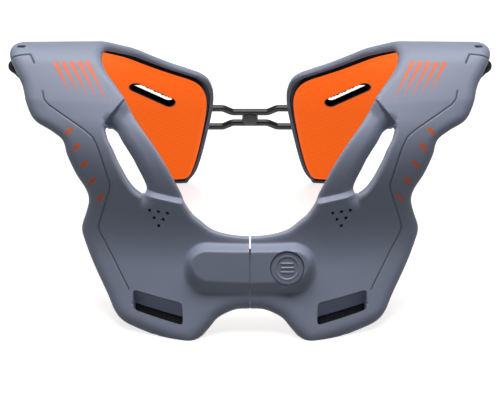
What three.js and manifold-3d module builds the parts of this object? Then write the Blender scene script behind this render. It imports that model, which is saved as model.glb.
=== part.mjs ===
// Motocross neck brace: two moulded shell halves that arch over the shoulders, joined at the
// chest by a latch with a release button and at the back by a flexible forked connector.
// Millimetres, +Z up, chest towards -Y, standing on its four feet.
import * as THREE from 'three';
import { mergeVertices } from 'three/addons/utils/BufferGeometryUtils.js';
import Module from 'manifold-3d';

const wasm = await Module();
wasm.setup();

// Driving dimensions
const overallWidth = 366; // across both shoulder ends
const braceHeight = 171; // floor to the shoulder ridge
const frontReach = 155; // shoulder ridge to the chest feet, along Y
const rearReach = 105; // shoulder ridge to the rear feet, along Y
const frontSweep = 50; // how far the outer chest edge lies behind the centre line
const rearSweep = 25; // how far the outer edge of the rear wing lies ahead of its inner edge
const wall = 3.4; // moulded shell wall
const rimWall = 3; // thickness of the turned-down rim
const frontRimDepth = 8; // depth of the rim round the chest and shoulder
const rearRimDepth = 11; // depth of the rim round the rear wings
const rimRoll = 3; // how far the outer face rolls down at its edges
const rollWidth = 9; // width of that rolled edge
const strutRecess = 5; // how far the inner strut lies below the chest panel
const fitGap = 0.3; // clearance between touching pieces
const splitGap = 1.5; // open line between the two halves at the chest
const flangeDepth = 3; // closed end wall of each half at the split
const holeLip = 2.2; // wall of the collar round the long hole and the strap slot
const collarDepth = 8; // depth of those collars
const strapSlotRadius = 3.5; // corner radius of the strap slot
const strapRampTop = 1.5; // depth of the sloping recess at the upper edge of the strap slot
const ventDiameter = 2.4;
const ventPitch = 6.6;
const ventRowDrop = 5.4;
const pocketLength = 5; // small socket in the outer end of the shoulder
const pocketDepth = 5;
const latchLength = 88; // raised latch housing, both halves together
const latchWidth = 27;
const latchHeight = 9; // housing face above the panel, at the split
const latchBevel = 3;
const latchTilt = 7; // degrees by which the housing face is steeper than the panel
const buttonDiameter = 25;
const buttonThickness = 6;
const buttonSunk = 0.8; // button face below the housing face
const buttonTravel = 2.5; // stroke of the release button
const tongueLength = 58; // hidden latch tongue behind the split
const tongueWidth = 28;
const tongueThickness = 3;
const padThickness = 7; // rear pads, inside the rim
const padCrown = 1.2; // how far the pad face swells in its middle
const padEdgeGap = 2; // open line between pad and rim
const padEndRungs = 0.25; // open line between pad and foot, in rungs
const padSlotWidth = 8; // across the slot in the rear pad and wing, on the pad face
const padSlotFall = 15; // degrees by which that slot falls towards the back
const chestPadThickness = 7;
const shoulderPadThickness = 9;
const bumperProud = 1.6; // how far the shoulder pad shows beyond the shell edge
const armWidth = 4.8; // bars of the rear connector
const armThickness = 4;
const armSpreadOuter = 21.8; // between the two bars where they meet the wings
const armSpreadInner = 12.6; // between the two bars beside the hub
const hubDiameter = 12;
const plateLength = 18; // how far the connector plate reaches behind each wing
const plateInset = 3; // plate edge from the wing's edge
const hubProud = 1; // hub above the bars, each side
const screwDiameter = 7;
const screwHeadHeight = 1.6;

const halfWidth = overallWidth / 2;
const floorCutDepth = 60;

// Side profile: slope of the outer face in degrees, at shares of each run from the ridge
const frontProfile = [
  { share: 0, slope: 0 },
  { share: 0.107, slope: 30 },
  { share: 0.314, slope: 36 },
  { share: 0.541, slope: 74 },
  { share: 0.632, slope: 76 },
  { share: 0.773, slope: 50 },
  { share: 1, slope: 47 },
  { share: 1.1, slope: 46 },
];
const rearProfile = [
  { share: 0, slope: 0 },
  { share: 0.114, slope: 32 },
  { share: 0.408, slope: 66 },
  { share: 1, slope: 74 },
  { share: 1.1, slope: 75 },
];
// Wrap: how far the outer edge is swept along Y, as shares of the two sweeps
const wrapProfile = [
  { along: -1.1, sweep: 1.1 },
  { along: -0.62, sweep: 1 },
  { along: -0.25, sweep: 0.3 },
  { along: 0, sweep: 0 },
  { along: 0.38, sweep: -0.48 },
  { along: 1.1, sweep: -1.04 },
];

// Linear reading of a table: the value of one column at a place along another
function readTable(table, key, column, at) {
  const last = table.length - 1;
  if (at <= table[0][key]) return table[0][column];
  if (at >= table[last][key]) return table[last][column];
  const next = table.findIndex((row) => row[key] > at);
  const a = table[next - 1];
  const b = table[next];
  return a[column] + ((b[column] - a[column]) * (at - a[key])) / (b[key] - a[key]);
}

// Integrates a slope table into a run of points that ends on the floor at its reach
function makeRun(profile, reach, height) {
  const steps = 440;
  const overrun = profile[profile.length - 1].share;
  const points = [{ share: 0, out: 0, down: 0 }];
  for (let i = 1; i <= steps; i++) {
    const share = (overrun * i) / steps;
    const slope = THREE.MathUtils.degToRad(readTable(profile, 'share', 'slope', share - overrun / steps / 2));
    const before = points[i - 1];
    points.push({
      share,
      out: before.out + (Math.cos(slope) * overrun) / steps,
      down: before.down + (Math.sin(slope) * overrun) / steps,
    });
  }
  const outScale = reach / readTable(points, 'share', 'out', 1);
  const downScale = height / readTable(points, 'share', 'down', 1);
  let length = 0;
  points.forEach((point, i) => {
    point.out *= outScale;
    point.down *= downScale;
    if (i > 0 && point.share <= 1) {
      length += Math.hypot(point.out - points[i - 1].out, point.down - points[i - 1].down);
    }
  });
  return { points, length };
}
const frontRun = makeRun(frontProfile, frontReach, braceHeight);
const rearRun = makeRun(rearProfile, rearReach, braceHeight);
const runLength = (along) => (along < 0 ? frontRun.length : rearRun.length);

// Outer face of the brace. across is mm from the centre plane, along runs from -1 at the
// chest foot through 0 at the shoulder ridge to 1 at the rear foot.
function facePoint(across, along) {
  const run = along < 0 ? frontRun : rearRun;
  const share = Math.abs(along);
  const out = readTable(run.points, 'share', 'out', share) * Math.sign(along);
  const sweepSize = along < 0 ? frontSweep : rearSweep;
  const wrap = sweepSize * readTable(wrapProfile, 'along', 'sweep', along) * (across / halfWidth) ** 2;
  return new THREE.Vector3(across, out + wrap, braceHeight - readTable(run.points, 'share', 'down', share));
}

function faceNormal(across, along) {
  const step = 0.004;
  const du = facePoint(across + 1, along).sub(facePoint(across - 1, along));
  const dv = facePoint(across, along + step).sub(facePoint(across, along - step));
  return du.cross(dv).normalize();
}

// 0 before one place and 1 after the other, in either direction
function smooth(from, to, value) {
  const share = THREE.MathUtils.clamp((value - from) / (to - from), 0, 1);
  return share * share * (3 - 2 * share);
}

// Line down the long hole that the recessed strut ends at, across as a share of half width
const strutBorder = [
  { along: -0.56, across: 0.448 },
  { along: -0.508, across: 0.478 },
  { along: -0.446, across: 0.515 },
  { along: -0.38, across: 0.553 },
  { along: -0.32, across: 0.593 },
];
const creaseStart = { across: 0.51, along: -0.223 }; // crease above the strut, at the neck edge
const creaseSlope = -1.17; // fall of the crease towards the long hole
const ledgeStart = { across: 0.33, along: -0.56 }; // ledge below the strut
const ledgeSlope = 0.11;
const edgeBlend = 0.022; // width of the step at the crease and the ledge, as a share of the run

// The strut beside the neck opening lies below the chest panel, from a crease to a ledge
function strutRelief(across, along) {
  const side = across / halfWidth;
  const creaseAt = creaseStart.along + (side - creaseStart.across) * creaseSlope;
  const ledgeAt = ledgeStart.along + (side - ledgeStart.across) * ledgeSlope;
  const below = smooth(creaseAt, creaseAt - edgeBlend, along);
  const above = smooth(ledgeAt - edgeBlend, ledgeAt, along);
  const border = readTable(strutBorder, 'along', 'across', along);
  const inside = smooth(border + edgeBlend, border - edgeBlend, side);
  return -strutRecess * below * above * inside;
}

function offsetPoint(across, along, height) {
  const point = facePoint(across, along);
  return point.addScaledVector(faceNormal(across, along), height + strutRelief(across, along));
}

// Rungs of the shell from the split at the chest, round the chest foot, up over the shoulder
// and down to the rear foot: inner and outer end, across as a share of the half width
const shellRungs = [
  { inX: 0.0, inAlong: -0.669, outX: 0.0, outAlong: -0.882 },
  { inX: 0.055, inAlong: -0.665, outX: 0.055, outAlong: -0.885 },
  { inX: 0.1, inAlong: -0.658, outX: 0.1, outAlong: -0.898 },
  { inX: 0.137, inAlong: -0.649, outX: 0.137, outAlong: -0.916 },
  { inX: 0.165, inAlong: -0.638, outX: 0.167, outAlong: -0.944 },
  { inX: 0.187, inAlong: -0.626, outX: 0.2, outAlong: -0.973 },
  { inX: 0.2, inAlong: -0.619, outX: 0.24, outAlong: -0.998 },
  { inX: 0.208, inAlong: -0.614, outX: 0.29, outAlong: -0.999 },
  { inX: 0.216, inAlong: -0.608, outX: 0.37, outAlong: -0.985 },
  { inX: 0.223, inAlong: -0.601, outX: 0.445, outAlong: -0.972 },
  { inX: 0.229, inAlong: -0.595, outX: 0.507, outAlong: -0.955 },
  { inX: 0.234, inAlong: -0.589, outX: 0.54, outAlong: -0.928 },
  { inX: 0.24, inAlong: -0.582, outX: 0.575, outAlong: -0.88 },
  { inX: 0.246, inAlong: -0.575, outX: 0.63, outAlong: -0.8 },
  { inX: 0.251, inAlong: -0.567, outX: 0.672, outAlong: -0.735 },
  { inX: 0.257, inAlong: -0.558, outX: 0.69, outAlong: -0.69 },
  { inX: 0.263, inAlong: -0.548, outX: 0.672, outAlong: -0.64 },
  { inX: 0.271, inAlong: -0.536, outX: 0.661, outAlong: -0.6 },
  { inX: 0.281, inAlong: -0.522, outX: 0.668, outAlong: -0.565 },
  { inX: 0.305, inAlong: -0.486, outX: 0.7, outAlong: -0.515 },
  { inX: 0.337, inAlong: -0.44, outX: 0.74, outAlong: -0.452 },
  { inX: 0.375, inAlong: -0.392, outX: 0.772, outAlong: -0.4 },
  { inX: 0.42, inAlong: -0.34, outX: 0.82, outAlong: -0.368 },
  { inX: 0.463, inAlong: -0.288, outX: 0.885, outAlong: -0.335 },
  { inX: 0.51, inAlong: -0.23, outX: 0.919, outAlong: -0.275 },
  { inX: 0.555, inAlong: -0.172, outX: 0.94, outAlong: -0.19 },
  { inX: 0.6, inAlong: -0.11, outX: 0.967, outAlong: -0.135 },
  { inX: 0.617, inAlong: -0.04, outX: 0.991, outAlong: -0.075 },
  { inX: 0.61, inAlong: 0.03, outX: 1.0, outAlong: -0.005 },
  { inX: 0.588, inAlong: 0.09, outX: 0.982, outAlong: 0.07 },
  { inX: 0.545, inAlong: 0.142, outX: 0.93, outAlong: 0.16 },
  { inX: 0.49, inAlong: 0.19, outX: 0.88, outAlong: 0.25 },
  { inX: 0.42, inAlong: 0.26, outX: 0.835, outAlong: 0.33 },
  { inX: 0.345, inAlong: 0.317, outX: 0.795, outAlong: 0.4 },
  { inX: 0.27, inAlong: 0.358, outX: 0.748, outAlong: 0.475 },
  { inX: 0.215, inAlong: 0.388, outX: 0.7, outAlong: 0.54 },
  { inX: 0.18, inAlong: 0.425, outX: 0.655, outAlong: 0.6 },
  { inX: 0.163, inAlong: 0.49, outX: 0.612, outAlong: 0.66 },
  { inX: 0.168, inAlong: 0.575, outX: 0.573, outAlong: 0.72 },
  { inX: 0.185, inAlong: 0.67, outX: 0.54, outAlong: 0.78 },
  { inX: 0.205, inAlong: 0.765, outX: 0.508, outAlong: 0.84 },
  { inX: 0.228, inAlong: 0.86, outX: 0.477, outAlong: 0.9 },
  { inX: 0.248, inAlong: 0.935, outX: 0.445, outAlong: 0.945 },
  { inX: 0.268, inAlong: 0.985, outX: 0.405, outAlong: 0.972 },
  { inX: 0.29, inAlong: 1.01, outX: 0.37, outAlong: 0.995 },
];
const ridgeRow = shellRungs.findIndex((rung) => rung.inAlong > 0);
const flangePlace = flangeDepth / (shellRungs[1].inX * halfWidth);
const footBlockRungs = 2; // closed end of the rear wing
const stepWidth = 0.02; // in rungs, between the closed ends and the open shell

// Smooth rail through the rung ends: Catmull-Rom on one column
function railValue(rungs, column, place) {
  const index = Math.min(Math.floor(place), rungs.length - 2);
  const f = place - index;
  const at = (i) => rungs[Math.max(0, Math.min(rungs.length - 1, i))][column];
  const [p0, p1, p2, p3] = [at(index - 1), at(index), at(index + 1), at(index + 2)];
  const spline = 2 * p1 + (p2 - p0) * f + (2 * p0 - 5 * p1 + 4 * p2 - p3) * f ** 2;
  return (spline + (3 * p1 - p0 - 3 * p2 + p3) * f ** 3) / 2;
}

// A rung with real lengths, pulled in from both rails by the given insets
function makeRung(place, inset) {
  const inner = { x: railValue(shellRungs, 'inX', place) * halfWidth, t: railValue(shellRungs, 'inAlong', place) };
  const outer = { x: railValue(shellRungs, 'outX', place) * halfWidth, t: railValue(shellRungs, 'outAlong', place) };
  const length = Math.hypot(outer.x - inner.x, (outer.t - inner.t) * runLength(inner.t));
  const at = (distance) => {
    const f = distance / length;
    return { x: inner.x + (outer.x - inner.x) * f, t: inner.t + (outer.t - inner.t) * f };
  };
  return { length: length - inset.inner - inset.outer, at: (distance) => at(distance + inset.inner) };
}

// Triangles of a flat ring, each wound the way the ring runs. The ring is bent a little
// first, so that points in a straight row all stay corners.
function capTriangles(flat) {
  const bend = 1e-4;
  const bent = flat.map(({ x, y }) => new THREE.Vector2(x, y + bend * x * x));
  const ringSign = Math.sign(THREE.ShapeUtils.area(bent));
  return THREE.ShapeUtils.triangulateShape(bent, []).map((corners) => {
    const sameWay = Math.sign(THREE.ShapeUtils.area(corners.map((i) => bent[i]))) === ringSign;
    return sameWay ? corners : corners.slice().reverse();
  });
}

// Closed solid through a row of rungs; section gives the closed ring of one rung as
// { distance, height } pairs, always as many
function ladderSolid(places, inset, section) {
  const rings = places.map((place) => {
    const rung = makeRung(place, inset);
    const ring = section(rung.length, place);
    const points = ring.map((corner) => {
      const { x, t } = rung.at(corner.distance);
      return offsetPoint(x, t, corner.height);
    });
    return { points, flat: ring.map((corner) => new THREE.Vector2(corner.distance, corner.height)) };
  });
  const count = rings[0].points.length;
  const positions = rings.flatMap((ring) => ring.points.flatMap((point) => point.toArray()));
  const triangles = [];
  for (let r = 0; r < rings.length - 1; r++) {
    for (let i = 0; i < count; i++) {
      const j = (i + 1) % count;
      const [a, b, c, d] = [r * count + i, r * count + j, (r + 1) * count + j, (r + 1) * count + i];
      triangles.push(a, b, c, a, c, d);
    }
  }
  const lastRing = (rings.length - 1) * count;
  capTriangles(rings[0].flat).forEach(([a, b, c]) => triangles.push(a, c, b));
  capTriangles(rings[rings.length - 1].flat).forEach(([a, b, c]) => {
    triangles.push(lastRing + a, lastRing + b, lastRing + c);
  });
  return toSolid(closedGeometry(positions, triangles));
}

// Faces turned so that they point outwards, whatever way the rings ran
function closedGeometry(positions, triangles) {
  const corner = (i) => new THREE.Vector3().fromArray(positions, triangles[i] * 3);
  let volume = 0;
  for (let i = 0; i < triangles.length; i += 3) {
    volume += corner(i).dot(corner(i + 1).cross(corner(i + 2)));
  }
  const order = volume > 0 ? triangles : triangles.slice().reverse();
  const geometry = new THREE.BufferGeometry();
  geometry.setAttribute('position', new THREE.Float32BufferAttribute(positions, 3));
  geometry.setIndex(order);
  return geometry;
}

function toSolid(geometry) {
  const bare = geometry.clone();
  bare.deleteAttribute('normal');
  bare.deleteAttribute('uv');
  const merged = mergeVertices(bare, 1e-4);
  return new wasm.Manifold(
    new wasm.Mesh({
      numProp: 3,
      vertProperties: new Float32Array(merged.attributes.position.array),
      triVerts: new Uint32Array(merged.index.array),
    }),
  );
}

function toGeometry(solid, mirrored = false) {
  const mesh = solid.getMesh();
  const positions = [];
  for (let i = 0; i < mesh.vertProperties.length; i += mesh.numProp) {
    const [x, y, z] = mesh.vertProperties.slice(i, i + 3);
    positions.push(mirrored ? -x : x, y, z);
  }
  const geometry = closedGeometry(positions, Array.from(mesh.triVerts));
  geometry.computeVertexNormals();
  return geometry;
}

// Places from first to last with some steps between neighbouring rungs
function placesBetween(first, last, stepsPerRung) {
  const count = Math.round((last - first) * stepsPerRung);
  return Array.from({ length: count + 1 }, (_, i) => first + ((last - first) * i) / count);
}

// Rolled outer edge: inset as a share of the roll width, drop as a share of the roll
const rollProfile = [
  { inset: 0, drop: 1 },
  { inset: 0.14, drop: 0.42 },
  { inset: 0.45, drop: 0.1 },
  { inset: 1, drop: 0 },
];

function rimDepthAt(place) {
  return THREE.MathUtils.lerp(frontRimDepth, rearRimDepth, smooth(ridgeRow - 4, ridgeRow + 1, place));
}

function shellSection(length, place) {
  const rim = rimDepthAt(place);
  const closed = place <= flangePlace || place >= shellRungs.length - footBlockRungs;
  const floorOf = closed ? rim : wall;
  const reach = Math.min(rollWidth, length * 0.4);
  const inner = rollProfile.map((row) => ({ distance: row.inset * reach, height: -row.drop * rimRoll }));
  const outer = inner.map(({ distance, height }) => ({ distance: length - distance, height })).reverse();
  const middle = [0.25, 0.5, 0.75].map((share) => ({
    distance: THREE.MathUtils.lerp(reach, length - reach, share),
    height: 0,
  }));
  const under = [
    { distance: fitGap, height: -rim },
    { distance: rimWall, height: -rim - fitGap },
    { distance: rimWall + fitGap, height: -Math.max(floorOf, wall + fitGap) },
    { distance: reach, height: -floorOf },
  ];
  const underOuter = under.map(({ distance, height }) => ({ distance: length - distance, height })).reverse();
  const underMiddle = { distance: length / 2, height: -floorOf };
  return [...inner, ...middle, ...outer, ...underOuter.reverse(), underMiddle, ...under.reverse()];
}

// Outline points in face coordinates, given as shares of the half width and of the run
function outlineOf(rows) {
  return rows.map((row) => ({ x: row.across * halfWidth, t: row.along }));
}

// Slot with rounded ends between two places on the face
function slotOutline(start, end, width, steps) {
  const run = runLength(start.along);
  const a = new THREE.Vector2(start.across * halfWidth, start.along * run);
  const b = new THREE.Vector2(end.across * halfWidth, end.along * run);
  const heading = Math.atan2(b.y - a.y, b.x - a.x);
  const points = [];
  for (const [centre, turn] of [[a, Math.PI / 2], [b, -Math.PI / 2]]) {
    for (let i = 0; i <= steps; i++) {
      const angle = heading + turn + (Math.PI * i) / steps;
      points.push({
        x: centre.x + (Math.cos(angle) * width) / 2,
        t: (centre.y + (Math.sin(angle) * width) / 2) / run,
      });
    }
  }
  return points;
}

function centreOf(outline) {
  const sum = outline.reduce((total, { x, t }) => ({ x: total.x + x, t: total.t + t }), { x: 0, t: 0 });
  return { x: sum.x / outline.length, t: sum.t / outline.length };
}

// The outline moved outwards by some mm in the face
function grownOutline(outline, growth) {
  const run = runLength(centreOf(outline).t);
  const flat = outline.map(({ x, t }) => new THREE.Vector2(x, t * run));
  const turn = THREE.ShapeUtils.isClockWise(flat) ? -1 : 1;
  return flat.map((point, i) => {
    const before = flat[(i + flat.length - 1) % flat.length];
    const after = flat[(i + 1) % flat.length];
    const edge = after.clone().sub(before).normalize();
    return { x: point.x + edge.y * growth * turn, t: (point.y - edge.x * growth * turn) / run };
  });
}

// Straight prism through the face, by default along its normal at the outline's centre.
// bottom may be a function of the outline point; seat is the height the outline lies at.
function facePrism(outline, top, bottom, axis = null, seat = 0) {
  const centre = centreOf(outline);
  const along = axis ?? faceNormal(centre.x, centre.t);
  const run = runLength(centre.t);
  const flat = outline.map(({ x, t }) => new THREE.Vector2(x, t * run));
  const count = outline.length;
  const floorOf = typeof bottom === 'function' ? bottom : () => bottom;
  const level = (heightOf) => outline.map((point) => {
    const base = facePoint(point.x, point.t).addScaledVector(faceNormal(point.x, point.t), seat);
    return base.addScaledVector(along, heightOf(point));
  });
  const positions = [...level(() => top), ...level(floorOf)].flatMap((point) => point.toArray());
  const triangles = [];
  capTriangles(flat).forEach(([a, b, c]) => {
    triangles.push(a, b, c, a + count, c + count, b + count);
  });
  for (let i = 0; i < count; i++) {
    const j = (i + 1) % count;
    triangles.push(i, i + count, j + count, i, j + count, j);
  }
  return toSolid(closedGeometry(positions, triangles));
}

// Ring wall under an opening, from inside the shell wall down to the collar depth
function collar(outline, lip) {
  const centre = centreOf(outline);
  const normal = faceNormal(centre.x, centre.t);
  const wide = grownOutline(outline, lip);
  const narrow = grownOutline(outline, -lip / 2);
  const positions = [];
  const triangles = [];
  const count = outline.length;
  outline.forEach((_, i) => {
    const corners = [[wide[i], -wall / 2], [wide[i], -collarDepth], [narrow[i], -collarDepth], [narrow[i], -wall / 2]];
    corners.forEach(([{ x, t }, height]) => {
      const relief = strutRelief(x, t);
      positions.push(...facePoint(x, t).addScaledVector(normal, height + relief).toArray());
    });
    for (let k = 0; k < 4; k++) {
      const [a, b] = [i * 4 + k, i * 4 + ((k + 1) % 4)];
      const [c, d] = [((i + 1) % count) * 4 + ((k + 1) % 4), ((i + 1) % count) * 4 + k];
      triangles.push(a, b, c, a, c, d);
    }
  });
  return toSolid(closedGeometry(positions, triangles));
}

// Long hole in the front leg
const longHole = outlineOf([
  { across: 0.574, along: -0.337 },
  { across: 0.59, along: -0.349 },
  { across: 0.579, along: -0.382 },
  { across: 0.563, along: -0.415 },
  { across: 0.549, along: -0.446 },
  { across: 0.53, along: -0.477 },
  { across: 0.511, along: -0.508 },
  { across: 0.484, along: -0.539 },
  { across: 0.459, along: -0.554 },
  { across: 0.437, along: -0.558 },
  { across: 0.429, along: -0.548 },
  { across: 0.432, along: -0.53 },
  { across: 0.445, along: -0.504 },
  { across: 0.464, along: -0.473 },
  { across: 0.481, along: -0.442 },
  { across: 0.503, along: -0.411 },
  { across: 0.527, along: -0.38 },
  { across: 0.551, along: -0.347 },
]);
// Corners of the recess of the strap slot, upper outer one first; the slot itself is the
// lower part of the recess
const strapRecessCorners = outlineOf([
  { across: 0.475, along: -0.855 },
  { across: 0.276, along: -0.88 },
  { across: 0.273, along: -0.946 },
  { across: 0.475, along: -0.915 },
]);
const strapRampShare = 0.56;
const ventRow = { across: 0.408, along: -0.599 }; // first vent, nearest the outer edge
const ventLean = 0.07; // each vent in a row lies lower by this share of the pitch
const latchAlong = -0.762;
const rearSlotStart = { across: 0.505, along: 0.418 };
const rearSlotEnd = { across: 0.36, along: 0.51 };
const connectorAlong = 0.672;
const pocketPlace = { x: 0.955 * halfWidth, t: -0.01 };

// Corners rounded by short arcs in the face
function roundedOutline(corners, radius, steps) {
  const run = runLength(corners[0].t);
  const flat = corners.map(({ x, t }) => new THREE.Vector2(x, t * run));
  const points = [];
  flat.forEach((corner, i) => {
    const toBefore = flat[(i + flat.length - 1) % flat.length].clone().sub(corner).normalize();
    const toAfter = flat[(i + 1) % flat.length].clone().sub(corner).normalize();
    const start = corner.clone().addScaledVector(toBefore, radius);
    const end = corner.clone().addScaledVector(toAfter, radius);
    const bend = new THREE.QuadraticBezierCurve(start, corner, end);
    bend.getPoints(steps).forEach((point) => points.push({ x: point.x, t: point.y / run }));
  });
  return points;
}
const strapRecess = roundedOutline(strapRecessCorners, strapSlotRadius, 3);
const blendCorner = (a, b) => ({
  x: THREE.MathUtils.lerp(a.x, b.x, strapRampShare),
  t: THREE.MathUtils.lerp(a.t, b.t, strapRampShare),
});
const [slotTopOuter, slotTopInner, slotLowInner, slotLowOuter] = strapRecessCorners;
const strapSlot = roundedOutline(
  [blendCorner(slotTopOuter, slotLowOuter), blendCorner(slotTopInner, slotLowInner), slotLowInner, slotLowOuter],
  strapSlotRadius / 2,
  3,
);
// Depth of the ramp in the recess: shallow at its upper edge, full at the slot
function rampFloor({ x, t }) {
  const side = (x - slotTopInner.x) / (slotTopOuter.x - slotTopInner.x);
  const upper = THREE.MathUtils.lerp(slotTopInner.t, slotTopOuter.t, side);
  const lower = THREE.MathUtils.lerp(slotLowInner.t, slotLowOuter.t, side);
  const share = (t - upper) / (lower - upper) / strapRampShare;
  return -THREE.MathUtils.lerp(strapRampTop, collarDepth, share);
}
const rearSlot = slotOutline(rearSlotStart, rearSlotEnd, padSlotWidth, 5);

function roundOutline(centre, diameter, sides) {
  return Array.from({ length: sides }, (_, i) => {
    const angle = (Math.PI * 2 * i) / sides;
    return {
      x: centre.x + (Math.cos(angle) * diameter) / 2,
      t: centre.t + (Math.sin(angle) * diameter) / 2 / runLength(centre.t),
    };
  });
}

// Three, two and one vents in a small triangle
function ventPlaces() {
  const places = [];
  for (let row = 0; row < 3; row++) {
    for (let i = 0; i < 3 - row; i++) {
      const shift = (i + row / 2) * ventPitch;
      const drop = (row * ventRowDrop + shift * ventLean) / frontRun.length;
      places.push({ x: ventRow.across * halfWidth - shift, t: ventRow.along - drop });
    }
  }
  return places;
}

// Frame of the latch housing: x across, y up its face, z out of it
function latchMatrix(across) {
  const normal = faceNormal(0, latchAlong);
  normal.applyAxisAngle(new THREE.Vector3(1, 0, 0), THREE.MathUtils.degToRad(latchTilt));
  const sideways = new THREE.Vector3(1, 0, 0);
  const upwards = normal.clone().cross(sideways);
  const matrix = new THREE.Matrix4().makeBasis(sideways, upwards, normal);
  return matrix.setPosition(facePoint(0, latchAlong).add(new THREE.Vector3(across, 0, 0)));
}

function capsuleShape(length, width) {
  const shape = new THREE.Shape();
  const reach = length / 2 - width / 2;
  shape.absarc(reach, 0, width / 2, -Math.PI / 2, Math.PI / 2, false);
  shape.absarc(-reach, 0, width / 2, Math.PI / 2, Math.PI * 1.5, false);
  return shape;
}

function latchHousing() {
  const base = wall + latchHeight;
  const geometry = new THREE.ExtrudeGeometry(capsuleShape(latchLength - latchBevel * 2, latchWidth - latchBevel * 2), {
    depth: base - latchBevel,
    bevelThickness: latchBevel,
    bevelSize: latchBevel,
    bevelSegments: 2,
    curveSegments: 10,
  });
  geometry.translate(0, 0, -wall - latchBevel / 2);
  return toSolid(geometry.applyMatrix4(latchMatrix(0)));
}
const housingFace = latchHeight - latchBevel / 2; // height of its face in its own frame
const buttonInset = 3; // from the end of the housing's flat face to the button
const buttonAcross = latchLength / 2 - latchWidth / 2 - buttonInset;

function cylinderAlongLatch(diameter, low, high, across, sides) {
  const geometry = new THREE.CylinderGeometry(diameter / 2, diameter / 2, high - low, sides);
  geometry.rotateX(Math.PI / 2);
  geometry.translate(0, 0, (high + low) / 2);
  return toSolid(geometry.applyMatrix4(latchMatrix(across)));
}

function blockSolid(width, depth, height, x, y, z) {
  return toSolid(new THREE.BoxGeometry(width, depth, height).translate(x, y, z));
}
const clearSize = (overallWidth + frontReach + rearReach) * 1.5;
const floorBlock = blockSolid(clearSize, clearSize, floorCutDepth, 0, 0, -floorCutDepth / 2);

// Curved slab between two heights below the face, centred on the split
function tongueSolid(clearance) {
  const halfSteps = 6;
  const reach = tongueLength / 2 + clearance;
  const top = -wall - fitGap + clearance;
  const bottom = top - tongueThickness - clearance * 2;
  const half = tongueWidth / 2 + clearance;
  const positions = [];
  const triangles = [];
  const columns = halfSteps * 2 + 1;
  for (let i = 0; i < columns; i++) {
    const x = reach * (i / halfSteps - 1);
    const corners = [[half, top], [0, top], [-half, top], [-half, bottom], [0, bottom], [half, bottom]];
    corners.forEach(([v, height]) => {
      positions.push(...offsetPoint(x, latchAlong + v / frontRun.length, height).toArray());
    });
  }
  const ring = 6;
  for (let i = 0; i < columns - 1; i++) {
    for (let k = 0; k < ring; k++) {
      const [a, b] = [i * ring + k, i * ring + ((k + 1) % ring)];
      triangles.push(a, b, b + ring, a, b + ring, a + ring);
    }
  }
  const end = (columns - 1) * ring;
  [[0, 1, 4], [0, 4, 5], [1, 2, 3], [1, 3, 4]].forEach(([a, b, c]) => {
    triangles.push(a, c, b, end + a, end + b, end + c);
  });
  return toSolid(closedGeometry(positions, triangles));
}

// The slot in the rear wing and its pad falls towards the back, so that it can be seen through
const slotFall = THREE.MathUtils.degToRad(padSlotFall);
const slotAxis = new THREE.Vector3(0, Math.cos(slotFall), -Math.sin(slotFall));
const padFace = -wall - fitGap - padThickness;

// One half, on the +X side, without the button bore
function shellHalf() {
  const footBlock = shellRungs.length - footBlockRungs;
  const places = [
    0,
    flangePlace,
    flangePlace + stepWidth,
    ...placesBetween(1, footBlock - 1, 1),
    footBlock - stepWidth,
    footBlock,
    shellRungs.length - 1,
  ];
  const strapBlock = facePrism(grownOutline(strapRecess, holeLip), -wall / 2, -collarDepth);
  const solid = ladderSolid(places, { inner: 0, outer: 0 }, shellSection)
    .add(collar(longHole, holeLip))
    .add(strapBlock)
    .add(latchHousing());
  const above = collarDepth * 2; // cutters reach this far out of the face
  const below = -collarDepth * 4;
  const cuts = [
    facePrism(longHole, above, below),
    facePrism(strapRecess, above, rampFloor),
    facePrism(strapSlot, above, below),
    facePrism(rearSlot, above * 2, -above * 2, slotAxis, padFace),
    facePrism(roundOutline(pocketPlace, pocketLength, 8), above, -pocketDepth),
    tongueSolid(fitGap),
    blockSolid(clearSize, clearSize, clearSize, splitGap / 2 - clearSize / 2, 0, 0),
    floorBlock,
    ...ventPlaces().map((spot) => facePrism(roundOutline(spot, ventDiameter, 6), above, below / 2)),
  ];
  return cuts.reduce((whole, cut) => whole.subtract(cut), solid);
}

function releaseButton() {
  const top = housingFace - buttonSunk;
  return cylinderAlongLatch(buttonDiameter, top - buttonThickness, top, buttonAcross, 32);
}

// Pad section between two heights, with softened edges and a crowned face
function padSection(top, bottom, crown) {
  const soft = Math.abs(top - bottom) / 4;
  const swell = 0.8 * crown; // at the quarter points
  return (length) => [
    { distance: 0, height: top },
    { distance: length / 2, height: top },
    { distance: length, height: top },
    { distance: length, height: bottom + soft },
    { distance: length - soft, height: bottom },
    { distance: length * 0.75, height: bottom - swell },
    { distance: length / 2, height: bottom - crown },
    { distance: length * 0.25, height: bottom - swell },
    { distance: soft, height: bottom },
    { distance: 0, height: bottom + soft },
  ];
}

function rearPad() {
  const inset = rimWall + padEdgeGap;
  const places = placesBetween(ridgeRow + 1, shellRungs.length - footBlockRungs - padEndRungs, 1);
  const top = -wall - fitGap;
  const pad = ladderSolid(places, { inner: inset, outer: inset }, padSection(top, top - padThickness, padCrown));
  return pad.subtract(facePrism(rearSlot, padThickness * 4, -padThickness * 4, slotAxis, padFace)).subtract(floorBlock);
}

const chestPadFirst = 7; // rungs between which the chest pad lies
const chestPadLast = 14;
const chestPadStart = 0.42; // share of the rung that it leaves free
function chestPad() {
  const top = -collarDepth - fitGap * 2;
  const bottom = top - chestPadThickness;
  const section = (length) => {
    const start = length * chestPadStart;
    const ring = padSection(top, bottom, 0)(length - start - rimWall);
    return ring.map(({ distance, height }) => ({ distance: distance + start, height }));
  };
  return ladderSolid(placesBetween(chestPadFirst, chestPadLast, 1), { inner: 0, outer: 0 }, section).subtract(
    floorBlock,
  );
}

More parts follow.
